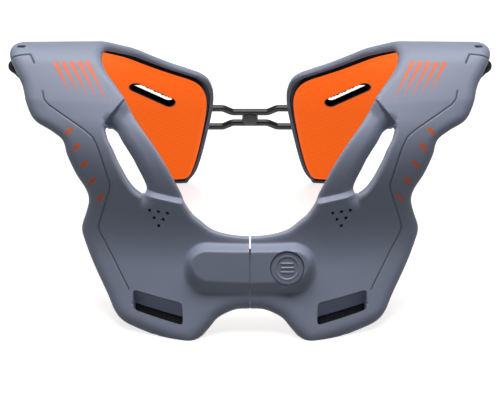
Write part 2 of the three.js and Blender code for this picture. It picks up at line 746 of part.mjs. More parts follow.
const shoulderPadFirst = ridgeRow - 5; // rungs between which the shoulder pad lies
const shoulderPadLast = ridgeRow + 0.8;
const shoulderPadStart = 0.18; // share of the rung that it leaves free
const bumperMiddle = ridgeRow - 1.1; // rung where it stands proudest
const bumperReach = 1.3; // rungs over which it falls back
function shoulderPad() {
  const top = -rearRimDepth - fitGap * 2;
  const bottom = top - shoulderPadThickness;
  const section = (length, place) => {
    const start = length * shoulderPadStart;
    const near = 1 - Math.min(1, Math.abs(place - bumperMiddle) / bumperReach);
    const proud = THREE.MathUtils.lerp(-rimWall, bumperProud, near ** 0.25);
    const ring = padSection(top, bottom, 0)(length - start + proud);
    return ring.map(({ distance, height }) => ({ distance: distance + start, height }));
  };
  return ladderSolid(placesBetween(shoulderPadFirst, shoulderPadLast, 2), { inner: 0, outer: 0 }, section);
}

// Frame of the rear connector: x across, y up the wings, z backwards out of them
const wingEdge = readTable(shellRungs.slice(ridgeRow + 8), 'inAlong', 'inX', connectorAlong) * halfWidth;
const plateSeat = fitGap * 2;
function connectorMatrix() {
  const normal = faceNormal(wingEdge + plateLength / 2, connectorAlong);
  normal.x = 0;
  normal.normalize();
  const sideways = new THREE.Vector3(1, 0, 0);
  const matrix = new THREE.Matrix4().makeBasis(sideways, normal.clone().cross(sideways), normal);
  const seat = facePoint(wingEdge + plateLength / 2, connectorAlong);
  return matrix.setPosition(seat.setX(0));
}

// Outline of one bar from plate to plate, bending in towards the hub. The bars follow the
// wings' edges, so their kinks are placed by shares of the distance to that edge.
function barShape(side) {
  const kinkOuter = 0.66;
  const kinkInner = 0.43;
  const rows = [
    { x: wingEdge + plateLength, y: armSpreadOuter / 2 },
    { x: wingEdge * kinkOuter, y: armSpreadOuter / 2 },
    { x: wingEdge * kinkInner, y: armSpreadInner / 2 },
  ];
  const across = [...rows, ...rows.map(({ x, y }) => ({ x: -x, y })).reverse()];
  const edge = (sign) => across.map(({ x, y }) => new THREE.Vector2(x, side * y + (sign * armWidth) / 2));
  return new THREE.Shape([...edge(1), ...edge(-1).reverse()]);
}

function plateShape(sign) {
  const near = sign * (wingEdge + plateInset);
  const far = sign * (wingEdge + plateLength);
  const reach = (armSpreadOuter + armWidth) / 2;
  return new THREE.Shape([
    new THREE.Vector2(near, -reach),
    new THREE.Vector2(far, -reach),
    new THREE.Vector2(far, reach),
    new THREE.Vector2(near, reach),
  ]);
}

function rearConnector() {
  const flat = (shape) => {
    const geometry = new THREE.ExtrudeGeometry(shape, { depth: armThickness, bevelEnabled: false });
    return toSolid(geometry.translate(0, 0, plateSeat).applyMatrix4(connectorMatrix()));
  };
  const hub = new THREE.CylinderGeometry(hubDiameter / 2, hubDiameter / 2, armThickness + hubProud * 2, 20);
  hub.rotateX(Math.PI / 2).translate(0, 0, plateSeat + armThickness / 2);
  return [barShape(1), barShape(-1), plateShape(1), plateShape(-1)]
    .map(flat)
    .reduce((whole, piece) => whole.add(piece), toSolid(hub.applyMatrix4(connectorMatrix())));
}

// Button-head screw on a connector plate, right side
function connectorScrew(side) {
  const head = new THREE.CylinderGeometry(screwDiameter / 2.6, screwDiameter / 2, screwHeadHeight, 14);
  head.rotateX(Math.PI / 2);
  head.translate(wingEdge + (plateLength + plateInset) / 2, (side * armSpreadOuter) / 2 - side, 0);
  head.translate(0, 0, plateSeat + armThickness + fitGap + screwHeadHeight / 2);
  return toSolid(head.applyMatrix4(connectorMatrix()));
}

const shellGrey = new THREE.Color(0x7e8596);
const padOrange = new THREE.Color(0xf2641c);
const softBlack = new THREE.Color(0x17181b);

function finish(color, roughness) {
  return new THREE.MeshStandardMaterial({ color, roughness, metalness: 0 });
}

const brace = new THREE.Group();
function place(name, geometry, material) {
  const mesh = new THREE.Mesh(geometry, material);
  mesh.name = name;
  brace.add(mesh);
}

const half = shellHalf();
const boreDepth = housingFace - buttonSunk - buttonThickness - buttonTravel - fitGap;
const bore = cylinderAlongLatch(buttonDiameter + fitGap * 2, boreDepth, housingFace + latchHeight, buttonAcross, 32);
place('shell_right', toGeometry(half.subtract(bore)), finish(shellGrey, 0.5));
place('shell_left', toGeometry(half, true), finish(shellGrey, 0.5));
place('release_button', toGeometry(releaseButton()), finish(shellGrey, 0.45));
place('latch_tongue', toGeometry(tongueSolid(0)), finish(softBlack, 0.5));
place('rear_connector', toGeometry(rearConnector()), finish(softBlack, 0.45));
const sided = [
  { name: 'rear_pad', solid: rearPad(), color: padOrange, roughness: 0.8 },
  { name: 'chest_pad', solid: chestPad(), color: softBlack, roughness: 0.9 },
  { name: 'shoulder_pad', solid: shoulderPad(), color: softBlack, roughness: 0.9 },
  { name: 'connector_screw_upper', solid: connectorScrew(1), color: softBlack, roughness: 0.4 },
  { name: 'connector_screw_lower', solid: connectorScrew(-1), color: softBlack, roughness: 0.4 },
];
sided.forEach(({ name, solid, color, roughness }) => {
  place(`${name}_right`, toGeometry(solid), finish(color, roughness));
  place(`${name}_left`, toGeometry(solid, true), finish(color, roughness));
});

// The centre of the brace's box stands over the origin
const box = new THREE.Box3().setFromObject(brace);
brace.position.y = -(box.min.y + box.max.y) / 2;

export default brace;
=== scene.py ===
# Dresses the motocross neck brace: moulded nylon shells, knurled orange pads, black foam
# pads, the flexible rear connector and the release button.
import math

import bpy
import numpy as np
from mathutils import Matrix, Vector
from mathutils.geometry import delaunay_2d_cdt
from mathutils.kdtree import KDTree


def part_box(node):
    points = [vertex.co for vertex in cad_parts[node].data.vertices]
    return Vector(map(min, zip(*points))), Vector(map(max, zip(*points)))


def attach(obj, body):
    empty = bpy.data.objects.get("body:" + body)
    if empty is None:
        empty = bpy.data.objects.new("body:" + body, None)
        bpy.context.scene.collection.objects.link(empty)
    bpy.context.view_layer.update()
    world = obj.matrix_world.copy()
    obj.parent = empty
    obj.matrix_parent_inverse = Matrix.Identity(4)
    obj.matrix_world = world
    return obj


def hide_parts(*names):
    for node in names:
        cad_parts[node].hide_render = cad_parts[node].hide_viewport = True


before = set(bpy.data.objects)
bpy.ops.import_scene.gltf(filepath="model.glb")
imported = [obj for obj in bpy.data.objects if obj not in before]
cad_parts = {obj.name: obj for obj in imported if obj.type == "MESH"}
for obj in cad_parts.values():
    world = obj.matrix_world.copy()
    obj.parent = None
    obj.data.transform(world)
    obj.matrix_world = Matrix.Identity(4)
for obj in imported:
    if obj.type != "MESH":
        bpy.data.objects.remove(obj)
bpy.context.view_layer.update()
mm = 0.001

# The face of the brace is worked out in flat pattern coordinates: x is mm from the centre
# plane, s is mm along the side profile from the shoulder ridge, minus to the chest.
brace = {
    "halfWidth": 183.0,      # shoulder end from the centre plane
    "height": 171.0,         # floor to shoulder ridge
    "frontReach": 155.0,     # ridge to chest feet
    "rearReach": 105.0,      # ridge to rear feet
    "frontSweep": 50.0,      # outer chest edge behind the centre line
    "rearSweep": 25.0,
}
frontSlopes = [(0, 0), (0.107, 30), (0.314, 36), (0.541, 74), (0.632, 76), (0.773, 50), (1, 47), (1.1, 46)]
rearSlopes = [(0, 0), (0.114, 32), (0.408, 66), (1, 74), (1.1, 75)]
wrapShares = np.array([(-1.1, 1.1), (-0.62, 1), (-0.25, 0.3), (0, 0), (0.38, -0.48), (1.1, -1.04)])


def makeRun(slopes, reach, height):
    steps = 440
    slopes = np.array(slopes, float)
    share = np.linspace(0, slopes[-1, 0], steps + 1)
    slope = np.radians(np.interp((share[1:] + share[:-1]) / 2, slopes[:, 0], slopes[:, 1]))
    out = np.concatenate([[0], np.cumsum(np.cos(slope))])
    down = np.concatenate([[0], np.cumsum(np.sin(slope))])
    out *= reach / np.interp(1, share, out)
    down *= height / np.interp(1, share, down)
    pieces = np.hypot(np.diff(out), np.diff(down))
    return {"share": share, "out": out, "down": down, "length": pieces[share[1:] <= 1].sum()}


frontRun = makeRun(frontSlopes, brace["frontReach"], brace["height"])
rearRun = makeRun(rearSlopes, brace["rearReach"], brace["height"])


def facePoint(x, s):
    share = np.where(s < 0, s / frontRun["length"], s / rearRun["length"])
    size = np.abs(share)
    front = s < 0
    out = np.where(front, -np.interp(size, frontRun["share"], frontRun["out"]),
                   np.interp(size, rearRun["share"], rearRun["out"]))
    down = np.where(front, np.interp(size, frontRun["share"], frontRun["down"]),
                    np.interp(size, rearRun["share"], rearRun["down"]))
    sweep = np.where(front, brace["frontSweep"], brace["rearSweep"])
    wrap = sweep * np.interp(share, wrapShares[:, 0], wrapShares[:, 1]) * (x / brace["halfWidth"]) ** 2
    return np.stack([x, out + wrap, brace["height"] - down], -1)


def faceNormal(x, s):
    du = facePoint(x + 1, s) - facePoint(x - 1, s)
    dv = facePoint(x, s + 1) - facePoint(x, s - 1)
    n = np.cross(du, dv)
    return n / np.linalg.norm(n, axis=-1, keepdims=True)


def lifted(x, s, height):
    return facePoint(x, s) + faceNormal(x, s) * np.asarray(height)[..., None]


def patternOf(points, x, s, rounds=8):
    # pattern place and height of points in space, from a first guess
    height = np.zeros_like(x)
    for _ in range(rounds):
        base = facePoint(x, s)
        n = faceNormal(x, s)
        dv = (facePoint(x, s + 0.5) - facePoint(x, s - 0.5))
        du = (facePoint(x + 0.5, s) - facePoint(x - 0.5, s))
        basis = np.stack([du, dv, n], -1)
        step = np.linalg.solve(basis, (points - base)[..., None])[..., 0]
        x = x + step[..., 0]
        s = s + step[..., 1]
        height = step[..., 2]
    return x, s, height


def smooth(a, b, value):
    share = np.clip((value - a) / (b - a), 0, 1)
    return share * share * (3 - 2 * share)


# ---- outline: rungs across the half shell, ends as shares of half width and of each run
shellRungs = np.array([
    (0.0, -0.669, 0.0, -0.882), (0.062, -0.666, 0.055, -0.885), (0.116, -0.66, 0.1, -0.898),
    (0.157, -0.651, 0.137, -0.916), (0.185, -0.639, 0.167, -0.944), (0.2075, -0.626, 0.2, -0.973),
    (0.2205, -0.619, 0.24, -0.998), (0.229, -0.614, 0.29, -0.999), (0.238, -0.608, 0.366, -0.988),
    (0.2455, -0.601, 0.45, -0.972), (0.252, -0.595, 0.52, -0.955), (0.257, -0.589, 0.558, -0.928),
    (0.263, -0.582, 0.589, -0.88), (0.269, -0.575, 0.645, -0.8), (0.274, -0.567, 0.685, -0.735),
    (0.279, -0.558, 0.702, -0.69), (0.284, -0.548, 0.683, -0.64), (0.291, -0.536, 0.67, -0.6),
    (0.3, -0.522, 0.68, -0.565), (0.323, -0.486, 0.72, -0.515), (0.354, -0.44, 0.754, -0.452),
    (0.39, -0.392, 0.772, -0.4), (0.432, -0.34, 0.82, -0.368), (0.472, -0.288, 0.885, -0.335),
    (0.51, -0.23, 0.919, -0.275), (0.555, -0.172, 0.94, -0.19), (0.6, -0.11, 0.967, -0.135),
    (0.617, -0.04, 0.991, -0.075), (0.61, 0.03, 1.0, -0.005), (0.588, 0.09, 0.982, 0.07),
    (0.545, 0.142, 0.93, 0.16), (0.49, 0.19, 0.88, 0.25), (0.42, 0.26, 0.835, 0.33),
    (0.345, 0.317, 0.795, 0.4), (0.27, 0.358, 0.748, 0.475), (0.215, 0.388, 0.7, 0.54),
    (0.18, 0.425, 0.655, 0.6), (0.163, 0.49, 0.612, 0.66), (0.168, 0.575, 0.573, 0.72),
    (0.185, 0.67, 0.54, 0.78), (0.205, 0.765, 0.508, 0.84), (0.228, 0.86, 0.477, 0.9),
    (0.252, 0.93, 0.445, 0.945), (0.281, 0.972, 0.405, 0.972), (0.312, 1.003, 0.37, 0.995),
])
ridgeRow = int(np.argmax(shellRungs[:, 1] > 0))
lastRung = len(shellRungs) - 1


def toMm(across, along):
    run = np.where(np.asarray(along) < 0, frontRun["length"], rearRun["length"])
    return np.stack([np.asarray(across) * brace["halfWidth"], np.asarray(along) * run], -1)


def railPoint(place, side):
    # side 0 is the inner rail, 1 the outer; Catmull-Rom through the rung ends
    place = np.atleast_1d(np.asarray(place, float))
    i = np.minimum(place.astype(int), lastRung - 1)
    f = (place - i)[:, None]
    column = shellRungs[:, side * 2:side * 2 + 2]
    p0, p1, p2, p3 = (column[np.clip(i + k, 0, lastRung)] for k in (-1, 0, 1, 2))
    v = (2 * p1 + (p2 - p0) * f + (2 * p0 - 5 * p1 + 4 * p2 - p3) * f ** 2
         + (3 * p1 - p0 - 3 * p2 + p3) * f ** 3) / 2
    return toMm(v[:, 0], v[:, 1])


def rungPoint(place, fromInner=None, fromOuter=None):
    a = railPoint(place, 0)
    b = railPoint(place, 1)
    length = np.linalg.norm(b - a, axis=1, keepdims=True)
    if fromInner is not None:
        return a + (b - a) / length * np.atleast_1d(fromInner)[:, None]
    return b + (a - b) / length * np.atleast_1d(fromOuter)[:, None]


def resample(line, spacing, closed):
    pts = np.vstack([line, line[:1]]) if closed else line
    run = np.concatenate([[0], np.cumsum(np.linalg.norm(np.diff(pts, axis=0), axis=1))])
    count = max(3, int(round(run[-1] / spacing)))
    at = np.linspace(0, run[-1], count + 1)
    if closed:
        at = at[:-1]
    return np.stack([np.interp(at, run, pts[:, k]) for k in (0, 1)], -1)


def rounded(line, spacing, rounds):
    # closed loop with its corners eased
    pts = resample(line, spacing, True)
    for _ in range(rounds):
        pts = pts / 2 + (np.roll(pts, 1, 0) + np.roll(pts, -1, 0)) / 4
    return pts


def areaOf(loop):
    nxt = np.roll(loop, -1, 0)
    return (loop[:, 0] * nxt[:, 1] - loop[:, 1] * nxt[:, 0]).sum() / 2


def distanceTo(points, line, closed=True):
    a = line if closed else line[:-1]
    b = np.roll(line, -1, 0) if closed else line[1:]
    edge = b - a
    size = np.maximum((edge ** 2).sum(1), 1e-9)
    best = np.empty(len(points))
    for k in range(0, len(points), 3000):
        p = points[k:k + 3000, None, :]
        t = np.clip(((p - a) * edge).sum(-1) / size, 0, 1)
        best[k:k + 3000] = np.sqrt((((a + edge * t[..., None]) - p) ** 2).sum(-1).min(1))
    return best


def insideOf(points, loop):
    a = loop
    b = np.roll(loop, -1, 0)
    inside = np.zeros(len(points), bool)
    for k in range(0, len(points), 3000):
        p = points[k:k + 3000]
        y = p[:, 1, None]
        crosses = (a[:, 1] > y) != (b[:, 1] > y)
        with np.errstate(divide="ignore", invalid="ignore"):
            at = a[:, 0] + (y - a[:, 1]) / (b[:, 1] - a[:, 1]) * (b[:, 0] - a[:, 0])
        inside[k:k + 3000] = (crosses & (p[:, 0, None] < at)).sum(1) % 2 == 1
    return inside


def signedTo(points, loop):
    # negative inside the loop
    return distanceTo(points, loop) * np.where(insideOf(points, loop), -1, 1)


def offsetRows(loop, offsets, closed=True, spacing=1.0):
    # rows of points beside a line, at these distances to its left (minus: right)
    pts = resample(loop, spacing, closed)
    nxt = np.roll(pts, -1, 0) if closed else np.vstack([pts[1:], pts[-1:] * 2 - pts[-2:-1]])
    prv = np.roll(pts, 1, 0) if closed else np.vstack([pts[:1] * 2 - pts[1:2], pts[:-1]])
    way = nxt - prv
    way /= np.maximum(np.linalg.norm(way, axis=1, keepdims=True), 1e-9)
    left = np.stack([-way[:, 1], way[:, 0]], -1)
    rows = []
    for offset in offsets:
        row = pts + left * offset
        keep = distanceTo(row, pts, closed) > abs(offset) * 0.93 - 1e-6
        rows.append(row[keep])
    return np.vstack(rows)


def triangulate(outer, holes, rows, spacing, clear):
    # flat mesh of the region, its loops kept as they are, rows as extra points
    loops = [outer] + holes
    fixed = np.vstack(loops)
    lo, hi = outer.min(0), outer.max(0)
    gx = np.arange(lo[0], hi[0], spacing)
    gy = np.arange(lo[1], hi[1], spacing * 0.866)
    grid = np.stack(np.meshgrid(gx, gy, indexing="ij"), -1)
    grid[:, 1::2, 0] += spacing / 2
    grid = grid.reshape(-1, 2)
    taken = [fixed]
    for points, gap in ((rows, clear), (grid, spacing * 0.62)):
        if not len(points):
            continue
        keep = insideOf(points, outer)
        for hole in holes:
            keep &= ~insideOf(points, hole)
        points = points[keep]
        tree = KDTree(sum(len(t) for t in taken) + len(points))
        n = 0
        for group in taken:
            for p in group:
                tree.insert((p[0], p[1], 0), n)
                n += 1
        tree.balance()
        far = [tree.find((p[0], p[1], 0))[2] > gap for p in points]
        points = points[far]
        cell = np.unique(np.round(points / (clear * 0.9)).astype(int), axis=0, return_index=True)[1]
        taken.append(points[np.sort(cell)])
    verts = np.vstack(taken)
    edges = []
    start = 0
    for loop in loops:
        n = len(loop)
        edges += [(start + i, start + (i + 1) % n) for i in range(n)]
        start += n
    out = delaunay_2d_cdt([Vector(v) for v in verts], edges, [], 0, 1e-6)
    flat = np.array([tuple(v) for v in out[0]])
    faces = np.array([f for f in out[2] if len(f) == 3])
    centre = flat[faces].mean(1)
    keep = insideOf(centre, outer)
    for hole in holes:
        keep &= ~insideOf(centre, hole)
    faces = faces[keep]
    a, b, c = (flat[faces[:, k]] for k in range(3))
    turn = (b[:, 0] - a[:, 0]) * (c[:, 1] - a[:, 1]) - (b[:, 1] - a[:, 1]) * (c[:, 0] - a[:, 0])
    faces = faces[np.abs(turn) > 1e-7]
    turn = turn[np.abs(turn) > 1e-7]
    faces[turn < 0] = faces[turn < 0][:, ::-1]
    used = np.unique(faces)
    renumber = -np.ones(len(flat), int)
    renumber[used] = np.arange(len(used))
    return flat[used], renumber[faces]


def closedSkin(flat, faces, top, under):
    # top and under faces joined by a wall round every open edge; returns arrays
    n = len(flat)
    edge = np.vstack([faces[:, [0, 1]], faces[:, [1, 2]], faces[:, [2, 0]]])
    known = {(a, b) for a, b in edge.tolist()}
    rim = np.array([(a, b) for a, b in known if (b, a) not in known])
    rim = rim[np.lexsort((rim[:, 1], rim[:, 0]))]
    wall = np.vstack([
        np.stack([rim[:, 1], rim[:, 0], rim[:, 0] + n], 1),
        np.stack([rim[:, 1], rim[:, 0] + n, rim[:, 1] + n], 1),
    ])
    tris = np.vstack([faces, faces[:, ::-1] + n, wall])
    kind = np.concatenate([np.zeros(len(faces), int), np.ones(len(faces), int), np.full(len(wall), 2)])
    return np.vstack([top, under]), tris, kind, np.vstack([flat, flat])


# ---------------------------------------------------------------- where the frame stands
latch = {
    "along": -0.762,
    "tilt": 7.0,          # degrees steeper than the panel
    "length": 88.0,
    "width": 27.0,
    "height": 7.5,        # face above the panel at its middle
    "buttonAcross": 27.5,
    "buttonDiameter": 25.0,
    "gap": 0.12,
    "sunk": 0.8,
    "thickness": 6.0,
}


def latchFrame():
    s = latch["along"] * frontRun["length"]
    origin = facePoint(np.array(0.0), np.array(s))
    n = faceNormal(np.array(0.0), np.array(s))
    tilt = math.radians(latch["tilt"])
    turn = np.array([[1, 0, 0], [0, math.cos(tilt), -math.sin(tilt)], [0, math.sin(tilt), math.cos(tilt)]])
    n = turn @ n
    side = np.array([1.0, 0, 0])
    return origin, side, np.cross(n, side), n


latchOrigin, latchSide, latchUp, latchOut = latchFrame()
buttonMiddle = latchOrigin + latchSide * latch["buttonAcross"] + latchOut * (
    latch["height"] - latch["sunk"] - latch["thickness"] / 2)
buttonBox = np.array(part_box("release_button")) / mm
yShift = buttonBox[:, 1].mean() - buttonMiddle[1]
print("shape set back by", round(float(yShift), 2), "mm to meet the frame")


# ---------------------------------------------------------------- meshes and materials
def sRgb(hexColour):
    parts = [int(hexColour[k:k + 2], 16) / 255 for k in (1, 3, 5)]
    return [c / 12.92 if c <= 0.04045 else ((c + 0.055) / 1.055) ** 2.4 for c in parts] + [1.0]


def addNode(tree, kind, settings=None, links=None):
    # settings: attributes, or input values by name or number; links: input -> output socket
    node = tree.nodes.new(kind)
    for key, value in (settings or {}).items():
        if isinstance(key, str) and hasattr(node, key) and key not in node.inputs:
            setattr(node, key, value)
        else:
            node.inputs[key].default_value = value
    for key, socket in (links or {}).items():
        tree.links.new(socket, node.inputs[key])
    return node


def newMaterial(name):
    material = bpy.data.materials.new(name)
    material.use_nodes = True
    tree = material.node_tree
    shader = tree.nodes["Principled BSDF"]
    return material, tree, shader


def math2(tree, operation, a, b=None, c=None):
    node = addNode(tree, "ShaderNodeMath", {"operation": operation})
    for k, value in enumerate((a, b, c)):
        if value is None:
            continue
        if isinstance(value, (int, float)):
            node.inputs[k].default_value = value
        else:
            tree.links.new(value, node.inputs[k])
    return node.outputs[0]


def makeMesh(name, verts, tris, uv=None, attributes=None, kinds=None, mirrored=False, sharp=38):
    verts = np.array(verts, float)
    tris = np.array(tris)
    verts[:, 1] += yShift
    verts[:, 2] = np.maximum(verts[:, 2], 0)
    if mirrored:
        verts[:, 0] *= -1
        tris = tris[:, ::-1]
    mesh = bpy.data.meshes.new(name)
    mesh.from_pydata((verts * mm).tolist(), [], tris.tolist())
    if uv is not None:
        layer = mesh.uv_layers.new(name="facePattern")
        layer.data.foreach_set("uv", (np.asarray(uv)[tris.ravel()] / 100).ravel())
    for key, values in (attributes or {}).items():
        attribute = mesh.attributes.new(key, "FLOAT", "POINT")
        attribute.data.foreach_set("value", np.asarray(values, float))
    if kinds is not None:
        mesh.polygons.foreach_set("material_index", np.asarray(kinds, int))
    mesh.validate()
    mesh.shade_smooth()
    mesh.set_sharp_from_angle(angle=math.radians(sharp))
    mesh.update()
    piece = bpy.data.objects.new(name, mesh)
    bpy.context.scene.collection.objects.link(piece)
    return piece


def finishPiece(piece, materials, body, nodes):
    for material in materials:
        piece.data.materials.append(material)
    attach(piece, body)
    if nodes:
        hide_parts(*nodes)


# ---------------------------------------------------------------- shells
shell = {
    "wall": 3.4,
    "frontRim": 8.0,
    "rearRim": 7.6,
    "rimWall": 3.0,
    "frontRoll": (9.5, 5.0),      # width and depth of the rolled outer edge
    "neckRoll": (5.0, 1.8),       # the same at the neck opening
    "rearRoll": (7.0, 4.2),
    "strutRecess": 5.0,
    "collar": 8.0,
    "holeRoll": (2.6, 1.5),       # outer side of the long hole
    "strutRoll": (10.5, 4.4),      # strut side of the long hole
    "splitTop": 0.55,             # half of the open line between the halves
    "splitLow": 0.02,
    "spacing": 1.7,
    "edgeSpacing": 1.25,
    "vent": 2.4,
    "ventPitch": 6.6,
    "ventDrop": 5.4,
    "groove": (0.55, 0.55),       # half width and depth
}
holeRows = [(0.574, -0.321), (0.597, -0.334), (0.586, -0.376), (0.563, -0.415), (0.549, -0.446), (0.53, -0.477),
            (0.511, -0.508), (0.484, -0.539), (0.459, -0.554), (0.437, -0.558), (0.429, -0.548), (0.432, -0.53),
            (0.445, -0.504), (0.464, -0.473), (0.481, -0.442), (0.503, -0.411), (0.527, -0.378), (0.55, -0.336)]
strutBorder = np.array([(-0.56, 0.448), (-0.508, 0.478), (-0.446, 0.515), (-0.38, 0.553), (-0.32, 0.593)])
recessCorners = [(0.475, -0.855), (0.276, -0.88), (0.273, -0.946), (0.475, -0.915)]
rampShare = 0.56
grooveRows = [(0.852, -0.215), (0.845, -0.246), (0.828, -0.267), (0.76, -0.308), (0.675, -0.355), (0.64, -0.378),
              (0.615, -0.42), (0.57, -0.527), (0.572, -0.548), (0.6, -0.616), (0.622, -0.672), (0.617, -0.69),
              (0.566, -0.758), (0.497, -0.853)]
creaseRows = [(0.51, -0.223), (0.56, -0.281), (0.593, -0.325)]
ledgeRows = [(0.43, -0.549), (0.33, -0.56), (0.245, -0.572)]
tabRows = [(0.985, -0.07), (0.91, -0.058), (0.893, -0.1)]
pocketPlace = (0.952, -0.008)


def loopOf(rows, spacing, rounds):
    rows = np.array(rows)
    return rounded(toMm(rows[:, 0], rows[:, 1]), spacing, rounds)


def lineOf(rows, spacing=1.0):
    rows = np.array(rows)
    return resample(toMm(rows[:, 0], rows[:, 1]), spacing, False)


def shellOutline():
    places = np.linspace(0, lastRung, lastRung * 20 + 1)
    loop = np.vstack([railPoint(places, 0), railPoint(places[::-1], 1)])
    loop[:, 0] = np.maximum(loop[:, 0], shell["splitLow"])
    keep = np.linalg.norm(np.diff(loop, axis=0, append=loop[:1]), axis=1) > 1e-6
    loop = resample(loop[keep], shell["edgeSpacing"], True)
    # the split opens a little above the housing
    open_ = shell["splitLow"] + (shell["splitTop"] - shell["splitLow"]) * smooth(-176, -172, loop[:, 1])
    loop[:, 0] = np.maximum(loop[:, 0], open_)
    return loop if areaOf(loop) > 0 else loop[::-1]


outline = shellOutline()
atSplit = outline[:, 0] < 1.1
splitFree = np.roll(outline, -int(np.argmax(atSplit & ~np.roll(atSplit, 1))) , 0)
splitCount = int((splitFree[:, 0] < 1.1).sum())
edgeLine = splitFree[splitCount - 1:]
edgeLine = np.vstack([edgeLine, splitFree[:1]])
neckLine = railPoint(np.linspace(0, ridgeRow, ridgeRow * 8), 0)
longHole = loopOf(holeRows, 1.1, 3)
recessLoop = loopOf(recessCorners, 0.9, 8)


def lerpCorner(a, b):
    return tuple(np.array(a) + (np.array(b) - np.array(a)) * rampShare)


slotCorners = [lerpCorner(recessCorners[0], recessCorners[3]), lerpCorner(recessCorners[1], recessCorners[2]),
               recessCorners[2], recessCorners[3]]
strapSlot = loopOf(slotCorners, 0.9, 3)
strapCentre = strapSlot.mean(0)
strapSlot = strapCentre + (strapSlot - strapCentre) * np.array([1.01, 0.95])
groove = lineOf(grooveRows, 1.0)
crease = lineOf(creaseRows)
ledge = lineOf(ledgeRows)
tabLine = lineOf(tabRows)
ventLoops = []
for row in range(3):
    for i in range(3 - row):
        shift = (i + row / 2) * shell["ventPitch"]
        centre = toMm(0.408, -0.599) - np.array([shift, row * shell["ventDrop"] + shift * 0.07])
        turn = np.linspace(0, 2 * np.pi, 13)[:-1]
        ventLoops.append(centre + np.stack([np.cos(turn), np.sin(turn)], -1) * shell["vent"] / 2)

# slot through the rear wing and its pad, falling to the back
rearSlot = {"start": (0.505, 0.418), "end": (0.36, 0.51), "width": 9.2, "fall": 25.0, "face": -10.7}


def slotLoop():
    a = toMm(*rearSlot["start"])
    b = toMm(*rearSlot["end"])
    heading = math.atan2(*(b - a)[::-1])
    points = []
    for centre, turn in ((a, math.pi / 2), (b, -math.pi / 2)):
        angle = heading + turn + np.linspace(0, math.pi, 14)
        points.append(centre + np.stack([np.cos(angle), np.sin(angle)], -1) * rearSlot["width"] / 2)
    return np.vstack(points)


slotAxis = np.array([0, math.cos(math.radians(rearSlot["fall"])), -math.sin(math.radians(rearSlot["fall"]))])
padSlotLoop = resample(slotLoop(), 0.9, True)
slotSeat = lifted(padSlotLoop[:, 0], padSlotLoop[:, 1], np.full(len(padSlotLoop), rearSlot["face"]))


def slotAt(height):
    # the slot's edge where it meets this height above the face, in space and in pattern
    points = slotSeat.copy()
    x, s, level = patternOf(points, padSlotLoop[:, 0], padSlotLoop[:, 1])
    for _ in range(6):
        toNormal = (faceNormal(x, s) * slotAxis).sum(1)
        points += slotAxis * ((height - level) / toNormal)[:, None]
        x, s, level = patternOf(points, x, s)
    return points, np.stack([x, s], -1)


def boreLoop():
    # the button's bore where it meets the housing face
    turn = np.linspace(0, 2 * np.pi, 73)[:-1]
    radius = latch["buttonDiameter"] / 2 + latch["gap"]
    points = (latchOrigin + latchOut * latch["height"] + latchSide * latch["buttonAcross"]
              + np.outer(np.cos(turn), latchSide) * radius + np.outer(np.sin(turn), latchUp) * radius)
    guess = np.array([latch["buttonAcross"], latch["along"] * frontRun["length"]])
    x = guess[0] + np.cos(turn) * radius
    s = guess[1] + np.sin(turn) * radius
    x, s, _ = patternOf(points, x, s)
    return points, np.stack([x, s], -1)


latchCapsule = None


def capsuleLoop():
    reach = latch["length"] / 2 - latch["width"] / 2
    radius = latch["width"] / 2
    middle = latch["along"] * frontRun["length"]
    turn = np.linspace(-np.pi / 2, np.pi / 2, 24)
    end = np.stack([reach + np.cos(turn) * radius, middle + np.sin(turn) * radius], -1)
    return np.vstack([[[-10, middle - radius]], end, [[-10, middle + radius]]])


capsule = capsuleLoop()


def housingFaceHeight(p):
    # height above the face of the housing's flat front
    base = facePoint(p[:, 0], p[:, 1])
    n = faceNormal(p[:, 0], p[:, 1])
    gap = latch["height"] - ((base - latchOrigin) @ latchOut)
    return gap / (n @ latchOut)


